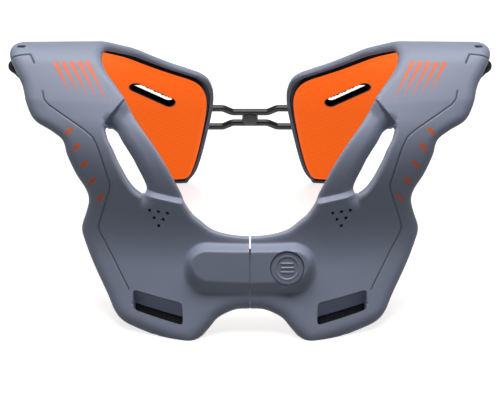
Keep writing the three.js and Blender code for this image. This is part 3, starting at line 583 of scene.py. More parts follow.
def topHeight(p):
    x, s = p[:, 0], p[:, 1]
    edge = distanceTo(p, edgeLine, False)
    rear = smooth(-12, 14, s)
    width = shell["frontRoll"][0] + (shell["rearRoll"][0] - shell["frontRoll"][0]) * rear
    depth = shell["frontRoll"][1] + (shell["rearRoll"][1] - shell["frontRoll"][1]) * rear
    neck = (distanceTo(p, neckLine, False) < edge + 0.6) * smooth(6, 60, -s)
    width = width + (shell["neckRoll"][0] - width) * neck
    depth = depth + (shell["neckRoll"][1] - depth) * neck
    over = np.clip(1 - edge / width, 0, 1)
    height = -depth * (1 - np.sqrt(np.maximum(1 - over ** 2.2, 0.0)))
    # recessed strut: crease above, ledge below, long hole beside it
    f = frontRun["length"]
    side = x / brace["halfWidth"]
    creaseAt = (-0.223 + (side - 0.51) * -1.17) * f
    ledgeAt = (-0.56 + (side - 0.33) * 0.11) * f
    border = np.interp(s / f, strutBorder[:, 0], strutBorder[:, 1]) * brace["halfWidth"]
    inside = smooth(border + 2, border - 2, x)
    shallow = 0.3 + 0.7 * smooth(0.5, 0.59, side)
    deepening = shallow + (1 - shallow) * smooth(creaseAt, creaseAt - 16, s)
    recess = smooth(creaseAt + 0.5, creaseAt - 1.5, s) * smooth(ledgeAt - 1.4, ledgeAt + 2.2, s) * inside * deepening
    height = height - shell["strutRecess"] * recess
    hole = distanceTo(p, longHole)
    onStrut = smooth(border + 1, border - 1, x)
    outerRoll = np.clip(1 - hole / shell["holeRoll"][0], 0, 1) ** 2 * shell["holeRoll"][1]
    strutRoll = np.clip(1 - hole / shell["strutRoll"][0], 0, 1) ** 2 * shell["strutRoll"][1]
    height = height - np.where(s < 0, outerRoll * (1 - onStrut) + strutRoll * onStrut, 0)
    # latch housing
    away = signedTo(p, capsule)
    down = smooth(2, -14, s - latch["along"] * f)
    blend = smooth(5.5 + 2.5 * down, -2.2, away)
    height = height + (housingFaceHeight(p) - height) * blend * (x < 70) * (s < -120)
    # sloping recess of the strap slot
    recessTo = signedTo(p, recessLoop)
    corners = toMm(*np.array(recessCorners).T)
    across = np.clip((x - corners[1, 0]) / (corners[0, 0] - corners[1, 0]), 0, 1)
    upper = corners[1, 1] + (corners[0, 1] - corners[1, 1]) * across
    lower = corners[2, 1] + (corners[3, 1] - corners[2, 1]) * across
    ramp = 1.5 + (shell["collar"] - 1.8) * np.clip((s - upper) / (lower - upper) / rampShare, 0, 1)
    height = height - ramp * smooth(0.35, -0.35, recessTo)
    # fine groove and the step beside it, shoulder tab, shoulder pocket
    line = distanceTo(p, groove, False)
    height = height - shell["groove"][1] * np.exp(-(line / shell["groove"][0]) ** 2)
    tab = distanceTo(p, tabLine, False)
    height = height - 0.8 * np.exp(-(tab / 0.6) ** 2)
    pocket = (np.abs((p - toMm(*pocketPlace)) / np.array([2.9, 2.0])) ** 4).sum(1) ** 0.25
    height = height - 5.0 * smooth(1.1, 0.85, pocket)
    line = np.minimum(line, tab + 0.15)
    height = height - 0.8 * np.exp(-(x / 0.6) ** 2) * smooth(-174, -180, s)      # closed part of the split
    return height, {"edge": edge, "hole": hole, "line": line, "recess": recessTo, "strut": onStrut, "pocket": pocket}


def underHeight(p, top, near):
    s = p[:, 1]
    rear = smooth(-12, 14, s)
    rim = shell["frontRim"] + (shell["rearRim"] - shell["frontRim"]) * rear
    inRim = smooth(shell["rimWall"] + 0.25, shell["rimWall"] - 0.05, near["edge"])
    corner = 0.8 * np.clip(1 - near["edge"] / 0.9, 0, 1) ** 2
    height = np.minimum(-shell["wall"], top - shell["wall"])
    height = np.where(signedTo(p, capsule) < 8, np.minimum(height, -shell["wall"]), height)
    height = height * (1 - inRim) + (-rim + corner) * inRim
    split = p[:, 0] < 3.5
    height = np.where(split & (s < 0), -shell["frontRim"], height)
    footEnd = (s > rearRun["length"] * 0.977)
    height = np.where(footEnd, -rim, height)
    lip = 2.2
    nearHole = (near["hole"] < lip) & (s < 0) & (near["strut"] < 0.5)
    height = np.where(nearHole, np.minimum(height, -shell["collar"]), height)
    height = np.where(near["recess"] < lip, -shell["collar"] - 0.2, height)
    return np.minimum(height, top - 1.2)


def buildShell(withBore):
    slotPoints, slotFlat = slotAt(0.0)
    slotUnder, _ = slotAt(-shell["wall"])
    holes = [longHole, strapSlot, slotFlat] + ventLoops
    borePoints, boreFlat = boreLoop()
    if withBore:
        holes = holes + [boreFlat]
    edgeInsets = [0.35, 0.8, 1.4, 2.1, 2.9, 3.3, 4.4, 5.8, 7.4, 9.0, 10.6]
    rows = [offsetRows(outline, edgeInsets, True, 1.3)]
    outwards = [-0.3, -0.8, -1.5, -2.3, -3.2, -4.6, -6.2, -8.0, -9.8]
    holeLoop = longHole if areaOf(longHole) > 0 else longHole[::-1]
    rows.append(offsetRows(holeLoop, outwards, True, 1.2))
    recess = recessLoop if areaOf(recessLoop) > 0 else recessLoop[::-1]
    rows.append(offsetRows(recess, [-2.6, -1.4, -0.4, 0.0, 0.4, 0.9], True, 0.8))
    housing = capsule if areaOf(capsule) > 0 else capsule[::-1]
    rows.append(offsetRows(housing, list(np.arange(-9, 4, 0.85)), True, 1.3))
    rows.append(offsetRows(groove, [-1.6, -1.0, -0.6, -0.3, 0, 0.3, 0.6, 1.0, 1.6], False, 0.8))
    rows.append(offsetRows(crease, list(np.arange(-2.6, 1.6, 0.45)), False, 0.9))
    rows.append(offsetRows(ledge, list(np.arange(-3.2, 3.6, 0.7)), False, 1.2))
    rows.append(offsetRows(tabLine, [-1.4, -0.8, -0.4, 0, 0.4, 0.8, 1.4], False, 0.7))
    for loop in ventLoops:
        rows.append(offsetRows(loop, [-0.35, -0.9], True, 0.6))
    turn = np.linspace(0, 2 * np.pi, 25)[:-1]
    pocketRings = [toMm(*pocketPlace) + np.stack([np.cos(turn) * 2.9, np.sin(turn) * 2.0], -1) * r
                   for r in (0.3, 0.6, 0.8, 0.92, 1.04, 1.16, 1.35)]
    rows.append(np.vstack(pocketRings))
    if withBore:
        bore = boreFlat if areaOf(boreFlat) > 0 else boreFlat[::-1]
        rows.append(offsetRows(bore, [-0.3, -0.7, -1.3], True, 1.0))
    flat, faces = triangulate(outline, holes, np.vstack(rows), shell["spacing"], 0.24)
    top, near = topHeight(flat)
    under = underHeight(flat, top, near)
    topPoints = lifted(flat[:, 0], flat[:, 1], top)
    underPoints = lifted(flat[:, 0], flat[:, 1], under)
    # walls of the rear slot and of the bore run along their own axes
    tree = KDTree(len(flat))
    for i, p in enumerate(flat):
        tree.insert((p[0], p[1], 0), i)
    tree.balance()
    for k, p in enumerate(slotFlat):
        i = tree.find((p[0], p[1], 0))[1]
        topPoints[i] = slotPoints[k]
        underPoints[i] = slotUnder[k]
    if withBore:
        for k, p in enumerate(boreFlat):
            i = tree.find((p[0], p[1], 0))[1]
            topPoints[i] = borePoints[k]
            underPoints[i] = borePoints[k] - latchOut * (latch["height"] + shell["wall"] * 0.5)
    # lighter along the outer edges and the long hole: edge wear, and painted highlight where the rolled rims catch the
    # light
    edgeWearAndHighlight = np.exp(-(near["edge"] / 1.3) ** 2) * 0.7
    edgeWearAndHighlight = np.maximum(edgeWearAndHighlight, np.exp(-(near["hole"] / 1.1) ** 2) * (flat[:, 1] < 0))
    # painted shade: darker in the groove, along the tab step and in the shoulder pocket, where shade falls
    paintedGrooveShade = np.maximum(np.exp(-(near["line"] / 0.7) ** 2), smooth(1.15, 0.9, near["pocket"]))
    verts, tris, kind, uv = closedSkin(flat, faces, topPoints, underPoints)
    tones = {"edgeWearAndHighlight": np.concatenate([edgeWearAndHighlight, edgeWearAndHighlight * 0]), "paintedGrooveShade": np.concatenate([paintedGrooveShade, paintedGrooveShade * 0])}
    return verts, tris, kind, uv, tones


def shellNylon():
    # glass-filled nylon, moulded with a fine spark texture: broad soft highlights, no mirror
    material, tree, shader = newMaterial("mouldedShellNylon")
    uv = addNode(tree, "ShaderNodeUVMap", {"uv_map": "facePattern"})
    split = addNode(tree, "ShaderNodeSeparateXYZ", None, {0: uv.outputs[0]})
    x = math2(tree, "MULTIPLY", split.outputs[0], 100.0)      # back to mm
    s = math2(tree, "MULTIPLY", split.outputs[1], 100.0)
    place = addNode(tree, "ShaderNodeTexCoord")
    cloud = addNode(tree, "ShaderNodeTexNoise", {"Scale": 14.0, "Detail": 2.0}, {"Vector": place.outputs["Object"]})
    base = addNode(tree, "ShaderNodeMix", {"data_type": "RGBA", 6: sRgb("#8d95ab"), 7: sRgb("#959db3")},
                   {0: cloud.outputs["Fac"]})
    edgeWearAndHighlight = addNode(tree, "ShaderNodeAttribute", {"attribute_name": "edgeWearAndHighlight"})
    edgeWearAndHighlightShare = math2(tree, "MULTIPLY", edgeWearAndHighlight.outputs["Fac"], 0.35)
    # paler colour along the edges: edge wear and painted highlight on the rolled rims
    edge = addNode(tree, "ShaderNodeMix", {"data_type": "RGBA", 7: sRgb("#b6bed0")},
                   {0: edgeWearAndHighlightShare, 6: base.outputs[2]})
    # painted shade in the groove, the tab step and the pocket
    grooveShadeAttribute = addNode(tree, "ShaderNodeAttribute", {"attribute_name": "paintedGrooveShade"})
    dark = math2(tree, "MULTIPLY", grooveShadeAttribute.outputs["Fac"], 0.75)
    lined = addNode(tree, "ShaderNodeMix", {"data_type": "RGBA", 7: sRgb("#3d4350")},
                    {0: dark, 6: edge.outputs[2]})
    bars = barPrint(tree, x, s)
    ticks = tickPrint(tree, x, s)
    ink = math2(tree, "MAXIMUM", bars, ticks)
    rub = addNode(tree, "ShaderNodeTexNoise", {"Scale": 900.0, "Detail": 3.0}, {"Vector": place.outputs["Object"]})
    rubbed = addNode(tree, "ShaderNodeMapRange", {"From Min": 0.25, "From Max": 0.5, "To Min": 0.72, "To Max": 1.0},
                     {"Value": rub.outputs["Fac"]})
    inked = math2(tree, "MULTIPLY", ink, rubbed.outputs[0])
    printed = addNode(tree, "ShaderNodeMix", {"data_type": "RGBA", 7: sRgb("#ff6e2c")},
                      {0: inked, 6: lined.outputs[2]})
    tree.links.new(printed.outputs[2], shader.inputs["Base Color"])
    # spark texture about 0.35 mm across
    grain = addNode(tree, "ShaderNodeTexNoise", {"Scale": 2600.0, "Detail": 2.0}, {"Vector": place.outputs["Object"]})
    bump = addNode(tree, "ShaderNodeBump", {"Strength": 0.12, "Distance": 0.0002}, {"Height": grain.outputs["Fac"]})
    tree.links.new(bump.outputs[0], shader.inputs["Normal"])
    rough = addNode(tree, "ShaderNodeMapRange", {"To Min": 0.44, "To Max": 0.54}, {"Value": cloud.outputs["Fac"]})
    tree.links.new(rough.outputs[0], shader.inputs["Roughness"])
    shader.inputs["IOR"].default_value = 1.53
    return material


shoulderBars = {"startX": 149.0, "startS": -24.0, "lean": 64.0, "pitch": 5.6, "count": 5, "length": 30.0}
sideTicks = {"from": (135.0, -88.0), "to": (112.0, -140.0), "count": 5, "half": 3.4}


def barPrint(tree, x, s):
    # five slanted bars, each shorter and thinner than the last
    lean = math.radians(shoulderBars["lean"])
    dx = math2(tree, "SUBTRACT", shoulderBars["startX"], x)
    ds = math2(tree, "SUBTRACT", shoulderBars["startS"], s)
    along = math2(tree, "ADD", math2(tree, "MULTIPLY", dx, math.cos(lean)), math2(tree, "MULTIPLY", ds, math.sin(lean)))
    across = math2(tree, "SUBTRACT", math2(tree, "MULTIPLY", dx, math.sin(lean)),
                   math2(tree, "MULTIPLY", ds, math.cos(lean)))
    slotNumber = math2(tree, "DIVIDE", across, shoulderBars["pitch"])
    index = math2(tree, "FLOOR", slotNumber)
    inBar = math2(tree, "SUBTRACT", slotNumber, index)
    inRange = math2(tree, "MULTIPLY", math2(tree, "GREATER_THAN", across, 0.0),
                    math2(tree, "LESS_THAN", across, shoulderBars["pitch"] * shoulderBars["count"]))
    length = math2(tree, "ADD", shoulderBars["length"], math2(tree, "MULTIPLY", index, 2.4))
    start = math2(tree, "MULTIPLY", index, 2.2)
    local = math2(tree, "SUBTRACT", along, start)
    share = math2(tree, "DIVIDE", local, length)
    width = math2(tree, "MULTIPLY", math2(tree, "SUBTRACT", 1.05, share), 0.62)
    thin = math2(tree, "LESS_THAN", inBar, width)
    window = math2(tree, "MULTIPLY", math2(tree, "GREATER_THAN", share, 0.0), math2(tree, "LESS_THAN", share, 1.0))
    return math2(tree, "MULTIPLY", math2(tree, "MULTIPLY", thin, window), inRange)


def tickPrint(tree, x, s):
    # five plain slanted ticks down the outer edge
    (x0, s0), (x1, s1) = sideTicks["from"], sideTicks["to"]
    length = math.hypot(x1 - x0, s1 - s0)
    ux, us = (x1 - x0) / length, (s1 - s0) / length
    dx = math2(tree, "SUBTRACT", x, x0)
    ds = math2(tree, "SUBTRACT", s, s0)
    along = math2(tree, "ADD", math2(tree, "MULTIPLY", dx, ux), math2(tree, "MULTIPLY", ds, us))
    across = math2(tree, "SUBTRACT", math2(tree, "MULTIPLY", dx, us), math2(tree, "MULTIPLY", ds, ux))
    slant = math2(tree, "ADD", along, math2(tree, "MULTIPLY", across, 0.45))
    turns = math2(tree, "DIVIDE", slant, length / (sideTicks["count"] - 1))
    near = math2(tree, "ABSOLUTE", math2(tree, "SUBTRACT", turns, math2(tree, "ROUND", turns)))
    thin = math2(tree, "LESS_THAN", near, 0.105)
    wide = math2(tree, "LESS_THAN", math2(tree, "ABSOLUTE", across), sideTicks["half"])
    window = math2(tree, "MULTIPLY", math2(tree, "GREATER_THAN", turns, -0.3),
                   math2(tree, "LESS_THAN", turns, sideTicks["count"] - 0.7))
    front = math2(tree, "LESS_THAN", s, -60.0)
    return math2(tree, "MULTIPLY", math2(tree, "MULTIPLY", thin, wide), math2(tree, "MULTIPLY", window, front))


shellMaterial = shellNylon()
for side, mirrored in (("right", False), ("left", True)):
    verts, tris, kind, uv, tones = buildShell(withBore=not mirrored)
    piece = makeMesh("mouldedShell." + side, verts, tris, uv, tones, None, mirrored)
    finishPiece(piece, [shellMaterial], "frame", ["shell_" + side])
    print("shell", side, len(tris), "faces")


# ---------------------------------------------------------------- pads
rearPad = {
    "innerInsets": ([29, 34, 37, 40, 43], [9.2, 9.0, 6.4, 4.8, 4.2]),    # by rung
    "outerInset": 5.0,
    "back": -3.7,
    "sideDepth": 8.4,        # black foam side shows down to here, set deep so its band also gives the painted shade in the gap under the lip
    "border": 2.2,           # the orange face stands this much prouder
    "crown": 0.9,
    "collar": 0.8,           # black collar round the slot: painted shade along its edge
    "spacing": 1.6,
}


def padRegion(first, last, innerInset, outerInset, rounds):
    places = np.linspace(first, last, int((last - first) * 16))
    inner = rungPoint(places, fromInner=innerInset(places))
    outer = rungPoint(places, fromOuter=outerInset(places))
    loop = rounded(np.vstack([inner, outer[::-1]]), 1.0, rounds)
    return loop if areaOf(loop) > 0 else loop[::-1]


def buildRearPad():
    facePoints, faceFlat = slotAt(-10.4)
    backPoints, _ = slotAt(rearPad["back"])
    taper = lambda p: np.interp(p, *rearPad["innerInsets"])
    loop = padRegion(ridgeRow + 0.6, lastRung - 1.3, taper, lambda p: np.full(len(p), rearPad["outerInset"]), 14)
    rows = [offsetRows(loop, [0.3, 0.7, 1.1, 1.6, 2.3, 3.2, 4.2, 5.2, 6.0, 6.5, 7.0, 7.8], True, 1.1)]
    hole = faceFlat if areaOf(faceFlat) > 0 else faceFlat[::-1]
    rows.append(offsetRows(hole, [-0.4, -0.8, -1.3, -2.0], True, 0.9))
    flat, faces = triangulate(loop, [faceFlat], np.vstack(rows), rearPad["spacing"], 0.24)
    edge = distanceTo(flat, loop)
    slot = distanceTo(flat, faceFlat)
    lip = 0.5 * np.exp(-((edge - 0.7) / 0.45) ** 2)
    depth = rearPad["sideDepth"] + rearPad["border"] * np.sqrt(smooth(0.2, 4.4, edge)) + lip * 0.6
    depth -= 0.35 * smooth(5.3, 6.1, edge)
    depth += rearPad["crown"] * smooth(7, 30, edge) - 0.5 * np.clip(1 - slot / 1.2, 0, 1) ** 2
    face = lifted(flat[:, 0], flat[:, 1], -depth)
    back = lifted(flat[:, 0], flat[:, 1], np.full(len(flat), rearPad["back"]))
    tree = KDTree(len(flat))
    for i, p in enumerate(flat):
        tree.insert((p[0], p[1], 0), i)
    tree.balance()
    slotIds = set()
    for k, p in enumerate(faceFlat):
        i = tree.find((p[0], p[1], 0))[1]
        face[i] = facePoints[k]
        back[i] = backPoints[k]
        slotIds.add(i)
    verts, tris, kind, uv = closedSkin(flat, faces, face, back)
    tris = tris[:, ::-1]
    n = len(flat)
    flatMiddle = flat[tris % n].mean(1)
    # the slot wall and a collar round it get the black slot lining; the collar is painted shade along the slot's edge
    nearSlot = distanceTo(flatMiddle, faceFlat) < rearPad["collar"]
    slotWall = np.array([k == 2 and all(int(v) % n in slotIds for v in t) for k, t in zip(kind, tris)])
    # pad walls and back take the black knit; the black band they show under the shell's lip is painted shade
    lining = np.where(slotWall | nearSlot, 1, np.where(kind > 0, 2, 0))
    knurl = smooth(6.2, 7.0, edge) * smooth(2.6, 3.6, slot)
    knurl *= smooth(40, 62, flat[:, 1] - flat[:, 0] * 0.35 + 25)
    # painted highlight along the pad's border, where its edge catches the light
    rim = np.exp(-((edge - 0.5) / 0.6) ** 2)
    tones = {"knurl": np.concatenate([knurl, knurl * 0]), "rim": np.concatenate([rim, rim * 0])}
    return verts, tris, lining, uv, tones


def orangePadSkin():
    # moulded EVA foam under a bonded orange knit, hot-pressed with a fine row texture
    material, tree, shader = newMaterial("pressedOrangePadSkin")
    uv = addNode(tree, "ShaderNodeUVMap", {"uv_map": "facePattern"})
    split = addNode(tree, "ShaderNodeSeparateXYZ", None, {0: uv.outputs[0]})
    x = math2(tree, "MULTIPLY", split.outputs[0], 100.0)
    s = math2(tree, "MULTIPLY", split.outputs[1], 100.0)
    # rows 2.5 mm apart with bumps every 1.9 mm, drawn coarser than the real 1.2 mm so that they show
    rowPlace = math2(tree, "ADD", s, math2(tree, "MULTIPLY", x, 0.36))
    rowWave = math2(tree, "SINE", math2(tree, "MULTIPLY", rowPlace, 2 * math.pi / 2.5))
    lean = math2(tree, "ADD", x, math2(tree, "MULTIPLY", s, -0.36))
    crossWave = math2(tree, "SINE", math2(tree, "MULTIPLY", lean, 2 * math.pi / 1.9))
    crossPart = math2(tree, "MULTIPLY", math2(tree, "MULTIPLY", rowWave, crossWave), 0.45)
    cells = math2(tree, "ADD", math2(tree, "MULTIPLY", rowWave, 0.55), crossPart)
    area = addNode(tree, "ShaderNodeAttribute", {"attribute_name": "knurl"})
    knurl = math2(tree, "MULTIPLY", cells, area.outputs["Fac"])
    place = addNode(tree, "ShaderNodeTexCoord")
    fine = addNode(tree, "ShaderNodeTexNoise", {"Scale": 1800.0, "Detail": 2.0}, {"Vector": place.outputs["Object"]})
    height = math2(tree, "ADD", math2(tree, "MULTIPLY", knurl, 0.5), math2(tree, "MULTIPLY", fine.outputs["Fac"], 0.25))
    bump = addNode(tree, "ShaderNodeBump", {"Strength": 0.5, "Distance": 0.0005}, {"Height": height})
    tree.links.new(bump.outputs[0], shader.inputs["Normal"])
    # painted light and shade on the knurl rows: crests lighter, hollows darker
    knurlLightAndShade = addNode(tree, "ShaderNodeMapRange", {"From Min": -1.0, "From Max": 1.0}, {"Value": knurl})
    base = addNode(tree, "ShaderNodeMix", {"data_type": "RGBA", 6: sRgb("#c83c06"), 7: sRgb("#ff8c3c")},
                   {0: knurlLightAndShade.outputs[0]})
    # paler border colour: painted highlight on the pad's edge
    rim = addNode(tree, "ShaderNodeAttribute", {"attribute_name": "rim"})
    edge = addNode(tree, "ShaderNodeMix", {"data_type": "RGBA", 7: sRgb("#ffa468")},
                   {0: math2(tree, "MULTIPLY", rim.outputs["Fac"], 0.8), 6: base.outputs[2]})
    tree.links.new(edge.outputs[2], shader.inputs["Base Color"])
    shader.inputs["Roughness"].default_value = 0.6
    shader.inputs["Specular IOR Level"].default_value = 0.3
    # the skin glows, brighter near the top and on the knurl crests: painted light, standing in for the light falling on
    # the pad
    shader.inputs["Emission Color"].default_value = sRgb("#ff6412")
    paintedLightByHeight = addNode(tree, "ShaderNodeMapRange", {"From Min": 30.0, "From Max": 120.0, "To Min": 1.05, "To Max": 0.78},
                   {"Value": s})
    # the knurl crests glow a little more: painted highlight
    rows = math2(tree, "MULTIPLY", knurl, 0.14)
    tree.links.new(math2(tree, "ADD", paintedLightByHeight.outputs[0], rows), shader.inputs["Emission Strength"])
    return material


def blackNylon(name="mouldedBlackNylon", roughness=0.42):
    # unfilled black nylon, satin from a polished tool
    material, tree, shader = newMaterial(name)
    place = addNode(tree, "ShaderNodeTexCoord")
    cloud = addNode(tree, "ShaderNodeTexNoise", {"Scale": 60.0, "Detail": 3.0}, {"Vector": place.outputs["Object"]})
    base = addNode(tree, "ShaderNodeMix", {"data_type": "RGBA", 6: sRgb("#1b1c20"), 7: sRgb("#26272c")},
                   {0: cloud.outputs["Fac"]})
    tree.links.new(base.outputs[2], shader.inputs["Base Color"])
    grain = addNode(tree, "ShaderNodeTexNoise", {"Scale": 2200.0, "Detail": 2.0}, {"Vector": place.outputs["Object"]})
    bump = addNode(tree, "ShaderNodeBump", {"Strength": 0.15, "Distance": 0.0002}, {"Height": grain.outputs["Fac"]})
    tree.links.new(bump.outputs[0], shader.inputs["Normal"])
    shader.inputs["Roughness"].default_value = roughness
    shader.inputs["IOR"].default_value = 1.53
    return material


def blackKnit():
    # polyester knit over soft foam: matt, with a fine 1.4 mm stitch
    material, tree, shader = newMaterial("blackKnitOverFoam")
    place = addNode(tree, "ShaderNodeTexCoord")
    cells = addNode(tree, "ShaderNodeTexVoronoi", {"Scale": 700.0}, {"Vector": place.outputs["Object"]})
    base = addNode(tree, "ShaderNodeMix", {"data_type": "RGBA", 6: sRgb("#0e0f11"), 7: sRgb("#25262a")},
                   {0: cells.outputs["Distance"]})
    tree.links.new(base.outputs[2], shader.inputs["Base Color"])
    bump = addNode(tree, "ShaderNodeBump", {"Strength": 0.5, "Distance": 0.0004}, {"Height": cells.outputs["Distance"]})
    tree.links.new(bump.outputs[0], shader.inputs["Normal"])
    shader.inputs["Roughness"].default_value = 0.9
    shader.inputs["Sheen Weight"].default_value = 0.2
    return material


orangeSkin = orangePadSkin()
blackMoulding = blackNylon()
knit = blackKnit()
# black lining for the slot wall and its collar, the collar standing for the shade along the slot's edge
slotLiningAndShade = blackNylon("slotLiningWithPaintedShade", 0.5)
verts, tris, lining, uv, tones = buildRearPad()
for side, mirrored in (("right", False), ("left", True)):
    piece = makeMesh("rearPad." + side, verts, tris, uv, tones, lining, mirrored)
    finishPiece(piece, [orangeSkin, slotLiningAndShade, knit], "frame", ["rear_pad_" + side])
print("rear pads", len(tris), "faces each")

chestPad = {"first": 7.0, "last": 14.0, "startShare": 0.42, "top": -8.7, "thickness": 6.8, "soft": 3.0}
shoulderPad = {"first": -5.0, "last": 0.8, "startShare": 0.18, "top": -11.7, "thickness": 8.8, "soft": 3.4}


def softPad(loop, values, name, mirrored, node):
    rows = [offsetRows(loop, [0.3, 0.8, 1.5, 2.4, 3.4, 4.6, 6.0], True, 1.4)]
    flat, faces = triangulate(loop, [], np.vstack(rows), 2.4, 0.25)
    edge = distanceTo(flat, loop)
    over = np.clip(1 - edge / values["soft"], 0, 1)
    puff = values["thickness"] * 0.42 * (1 - np.sqrt(np.maximum(1 - over ** 2, 0)))
    seam = 0.35 * np.exp(-((edge - 5.0) / 0.6) ** 2)      # sewn line 5 mm in from the edge
    top = lifted(flat[:, 0], flat[:, 1], values["top"] - puff)
    under = lifted(flat[:, 0], flat[:, 1], values["top"] - values["thickness"] + puff + seam)
    verts, tris, kind, uv = closedSkin(flat, faces, top, under)
    piece = makeMesh(name, verts, tris, uv, None, None, mirrored, 60)
    finishPiece(piece, [knit], "frame", [node] if node else None)
    return piece


def chestLoop():
    places = np.linspace(chestPad["first"], chestPad["last"], 80)
    length = np.linalg.norm(railPoint(places, 1) - railPoint(places, 0), axis=1)
    inner = rungPoint(places, fromInner=length * chestPad["startShare"])
    outer = rungPoint(places, fromOuter=np.full(len(places), 3.0))
    loop = rounded(np.vstack([inner, outer[::-1]]), 1.2, 10)
    return loop if areaOf(loop) > 0 else loop[::-1]


def shoulderLoop():
    places = np.linspace(ridgeRow + shoulderPad["first"], ridgeRow + shoulderPad["last"], 80)
    length = np.linalg.norm(railPoint(places, 1) - railPoint(places, 0), axis=1)
    inner = rungPoint(places, fromInner=length * shoulderPad["startShare"])
    near = 1 - np.minimum(1, np.abs(places - (ridgeRow - 0.75)) / 1.2)
    proud = -3.0 + 5.8 * near ** 0.25
    outer = rungPoint(places, fromOuter=-proud)
    loop = rounded(np.vstack([inner, outer[::-1]]), 1.2, 8)
    return loop if areaOf(loop) > 0 else loop[::-1]


for side, mirrored in (("right", False), ("left", True)):
    softPad(chestLoop(), chestPad, "chestPad." + side, mirrored, "chest_pad_" + side)
    softPad(shoulderLoop(), shoulderPad, "shoulderPad." + side, mirrored, "shoulder_pad_" + side)


def ventLoop():
    # rounded black plate behind the six vents, so that they show dark
    middle = np.mean([loop.mean(0) for loop in ventLoops], axis=0)
    corners = middle + np.array([(-13, 8.5), (13, 8.5), (3.5, -11), (-3.5, -11)])
    loop = rounded(corners, 1.0, 8)
    return loop if areaOf(loop) > 0 else loop[::-1]


ventBackingPlate = {"top": -3.65, "thickness": 3.0, "soft": 1.2}
for side, mirrored in (("right", False), ("left", True)):
    softPad(ventLoop(), ventBackingPlate, "ventBackingPlate." + side, mirrored, None)
print("chest and shoulder pads, vent foam")


# ---------------------------------------------------------------- release button
button = {"rings": 26, "sides": 96, "chamfer": 0.7, "dish": 0.5}


def buttonHeight(r, turn):
    # shallow dish, a raised ring and three thumb ribs
    radius = latch["buttonDiameter"] / 2
    h = -button["chamfer"] * smooth(radius - 0.7, radius, r) - button["dish"] * smooth(radius * 0.8, radius * 0.6, r)
    h = h + 0.55 * np.exp(-((r - radius * 0.68) / 0.55) ** 2)
    u = r * np.cos(turn)
    v = r * np.sin(turn)
    for offset in (-3.2, 0.0, 3.2):
        rib = np.exp(-((v - offset) / 0.55) ** 2) * smooth(5.2, 4.4, np.abs(u))
        h = h + 0.6 * rib
    return h


def buildButton():
    radius = latch["buttonDiameter"] / 2
    radii = np.concatenate([np.linspace(0.35, radius, 44), [radius, radius]])
    depth = np.concatenate([np.zeros(44), [-latch["thickness"] / 2, -latch["thickness"]]])
    turn = np.linspace(0, 2 * np.pi, button["sides"] + 1)[:-1]
    r = radii[:, None] * np.ones_like(turn)
    h = buttonHeight(r, turn[None, :] * np.ones_like(r))
    h[44:] = h[43:44]
    level = latch["height"] - latch["sunk"] + h + depth[:, None]
    level[-1] = latch["height"] - latch["sunk"] - latch["thickness"]
    centre = latchOrigin + latchSide * latch["buttonAcross"]
    points = (centre + latchOut * level[..., None] + latchSide * (r * np.cos(turn))[..., None]
              + latchUp * (r * np.sin(turn))[..., None]).reshape(-1, 3)
    tops = centre + latchOut * (latch["height"] - latch["sunk"] + buttonHeight(np.array(0.0), np.array(0.0)))
    base = centre + latchOut * (latch["height"] - latch["sunk"] - latch["thickness"])
    n = button["sides"]
    tris = []
    for k in range(len(radii) - 1):
        for i in range(n):
            j = (i + 1) % n
            a, b, c, d = k * n + i, (k + 1) * n + i, (k + 1) * n + j, k * n + j
            tris += [(a, b, c), (a, c, d)]
    count = len(points)
    tris += [(count, i, (i + 1) % n) for i in range(n)]
    last = (len(radii) - 1) * n
    tris += [(count + 1, last + (i + 1) % n, last + i) for i in range(n)]
    return np.vstack([points, [tops], [base]]), np.array(tris)


def buttonNylon():
    # the same nylon in a slightly darker batch, thumb-polished
    material, tree, shader = newMaterial("mouldedButtonNylon")
    place = addNode(tree, "ShaderNodeTexCoord")
    cloud = addNode(tree, "ShaderNodeTexNoise", {"Scale": 90.0, "Detail": 2.0}, {"Vector": place.outputs["Object"]})
    base = addNode(tree, "ShaderNodeMix", {"data_type": "RGBA", 6: sRgb("#8a92a8"), 7: sRgb("#949cb2")},
                   {0: cloud.outputs["Fac"]})
    tree.links.new(base.outputs[2], shader.inputs["Base Color"])
    grain = addNode(tree, "ShaderNodeTexNoise", {"Scale": 2600.0}, {"Vector": place.outputs["Object"]})
    bump = addNode(tree, "ShaderNodeBump", {"Strength": 0.1, "Distance": 0.0002}, {"Height": grain.outputs["Fac"]})
    tree.links.new(bump.outputs[0], shader.inputs["Normal"])
    shader.inputs["Roughness"].default_value = 0.42
    shader.inputs["IOR"].default_value = 1.53
    return material


verts, tris = buildButton()
piece = makeMesh("releaseButton", verts, tris, None, None, None, False, 50)
finishPiece(piece, [buttonNylon()], "button", ["release_button"])
print("release button")


# ---------------------------------------------------------------- rear connector and screws
connector = {"along": 0.672, "width": 4.8, "thickness": 4.8, "outer": 21.8, "inner": 12.6, "hub": 13.0,
             "plate": 18.0, "plateReach": 13.3, "screwSpread": 9.9, "plateInset": 3.0, "seat": 0.6, "screw": 7.0}


def connectorFrame():
    s = connector["along"] * rearRun["length"]
    edge = np.interp(connector["along"], shellRungs[ridgeRow + 8:, 1], shellRungs[ridgeRow + 8:, 0]) * brace["halfWidth"]
    x = np.array(edge + connector["plate"] / 2)
    n = faceNormal(x, np.array(s))
    n = np.array([0, n[1], n[2]]) / math.hypot(n[1], n[2])
    origin = facePoint(x, np.array(s))
    origin[0] = 0
    side = np.array([1.0, 0, 0])
    return origin, side, np.cross(n, side), n, float(edge)


connOrigin, connSide, connUp, connOut, wingEdge = connectorFrame()


def inConnector(u, v, w):
    u, v, w = (np.asarray(k, float)[..., None] for k in (u, v, w))
    return connOrigin + connSide * u + connUp * v + connOut * w


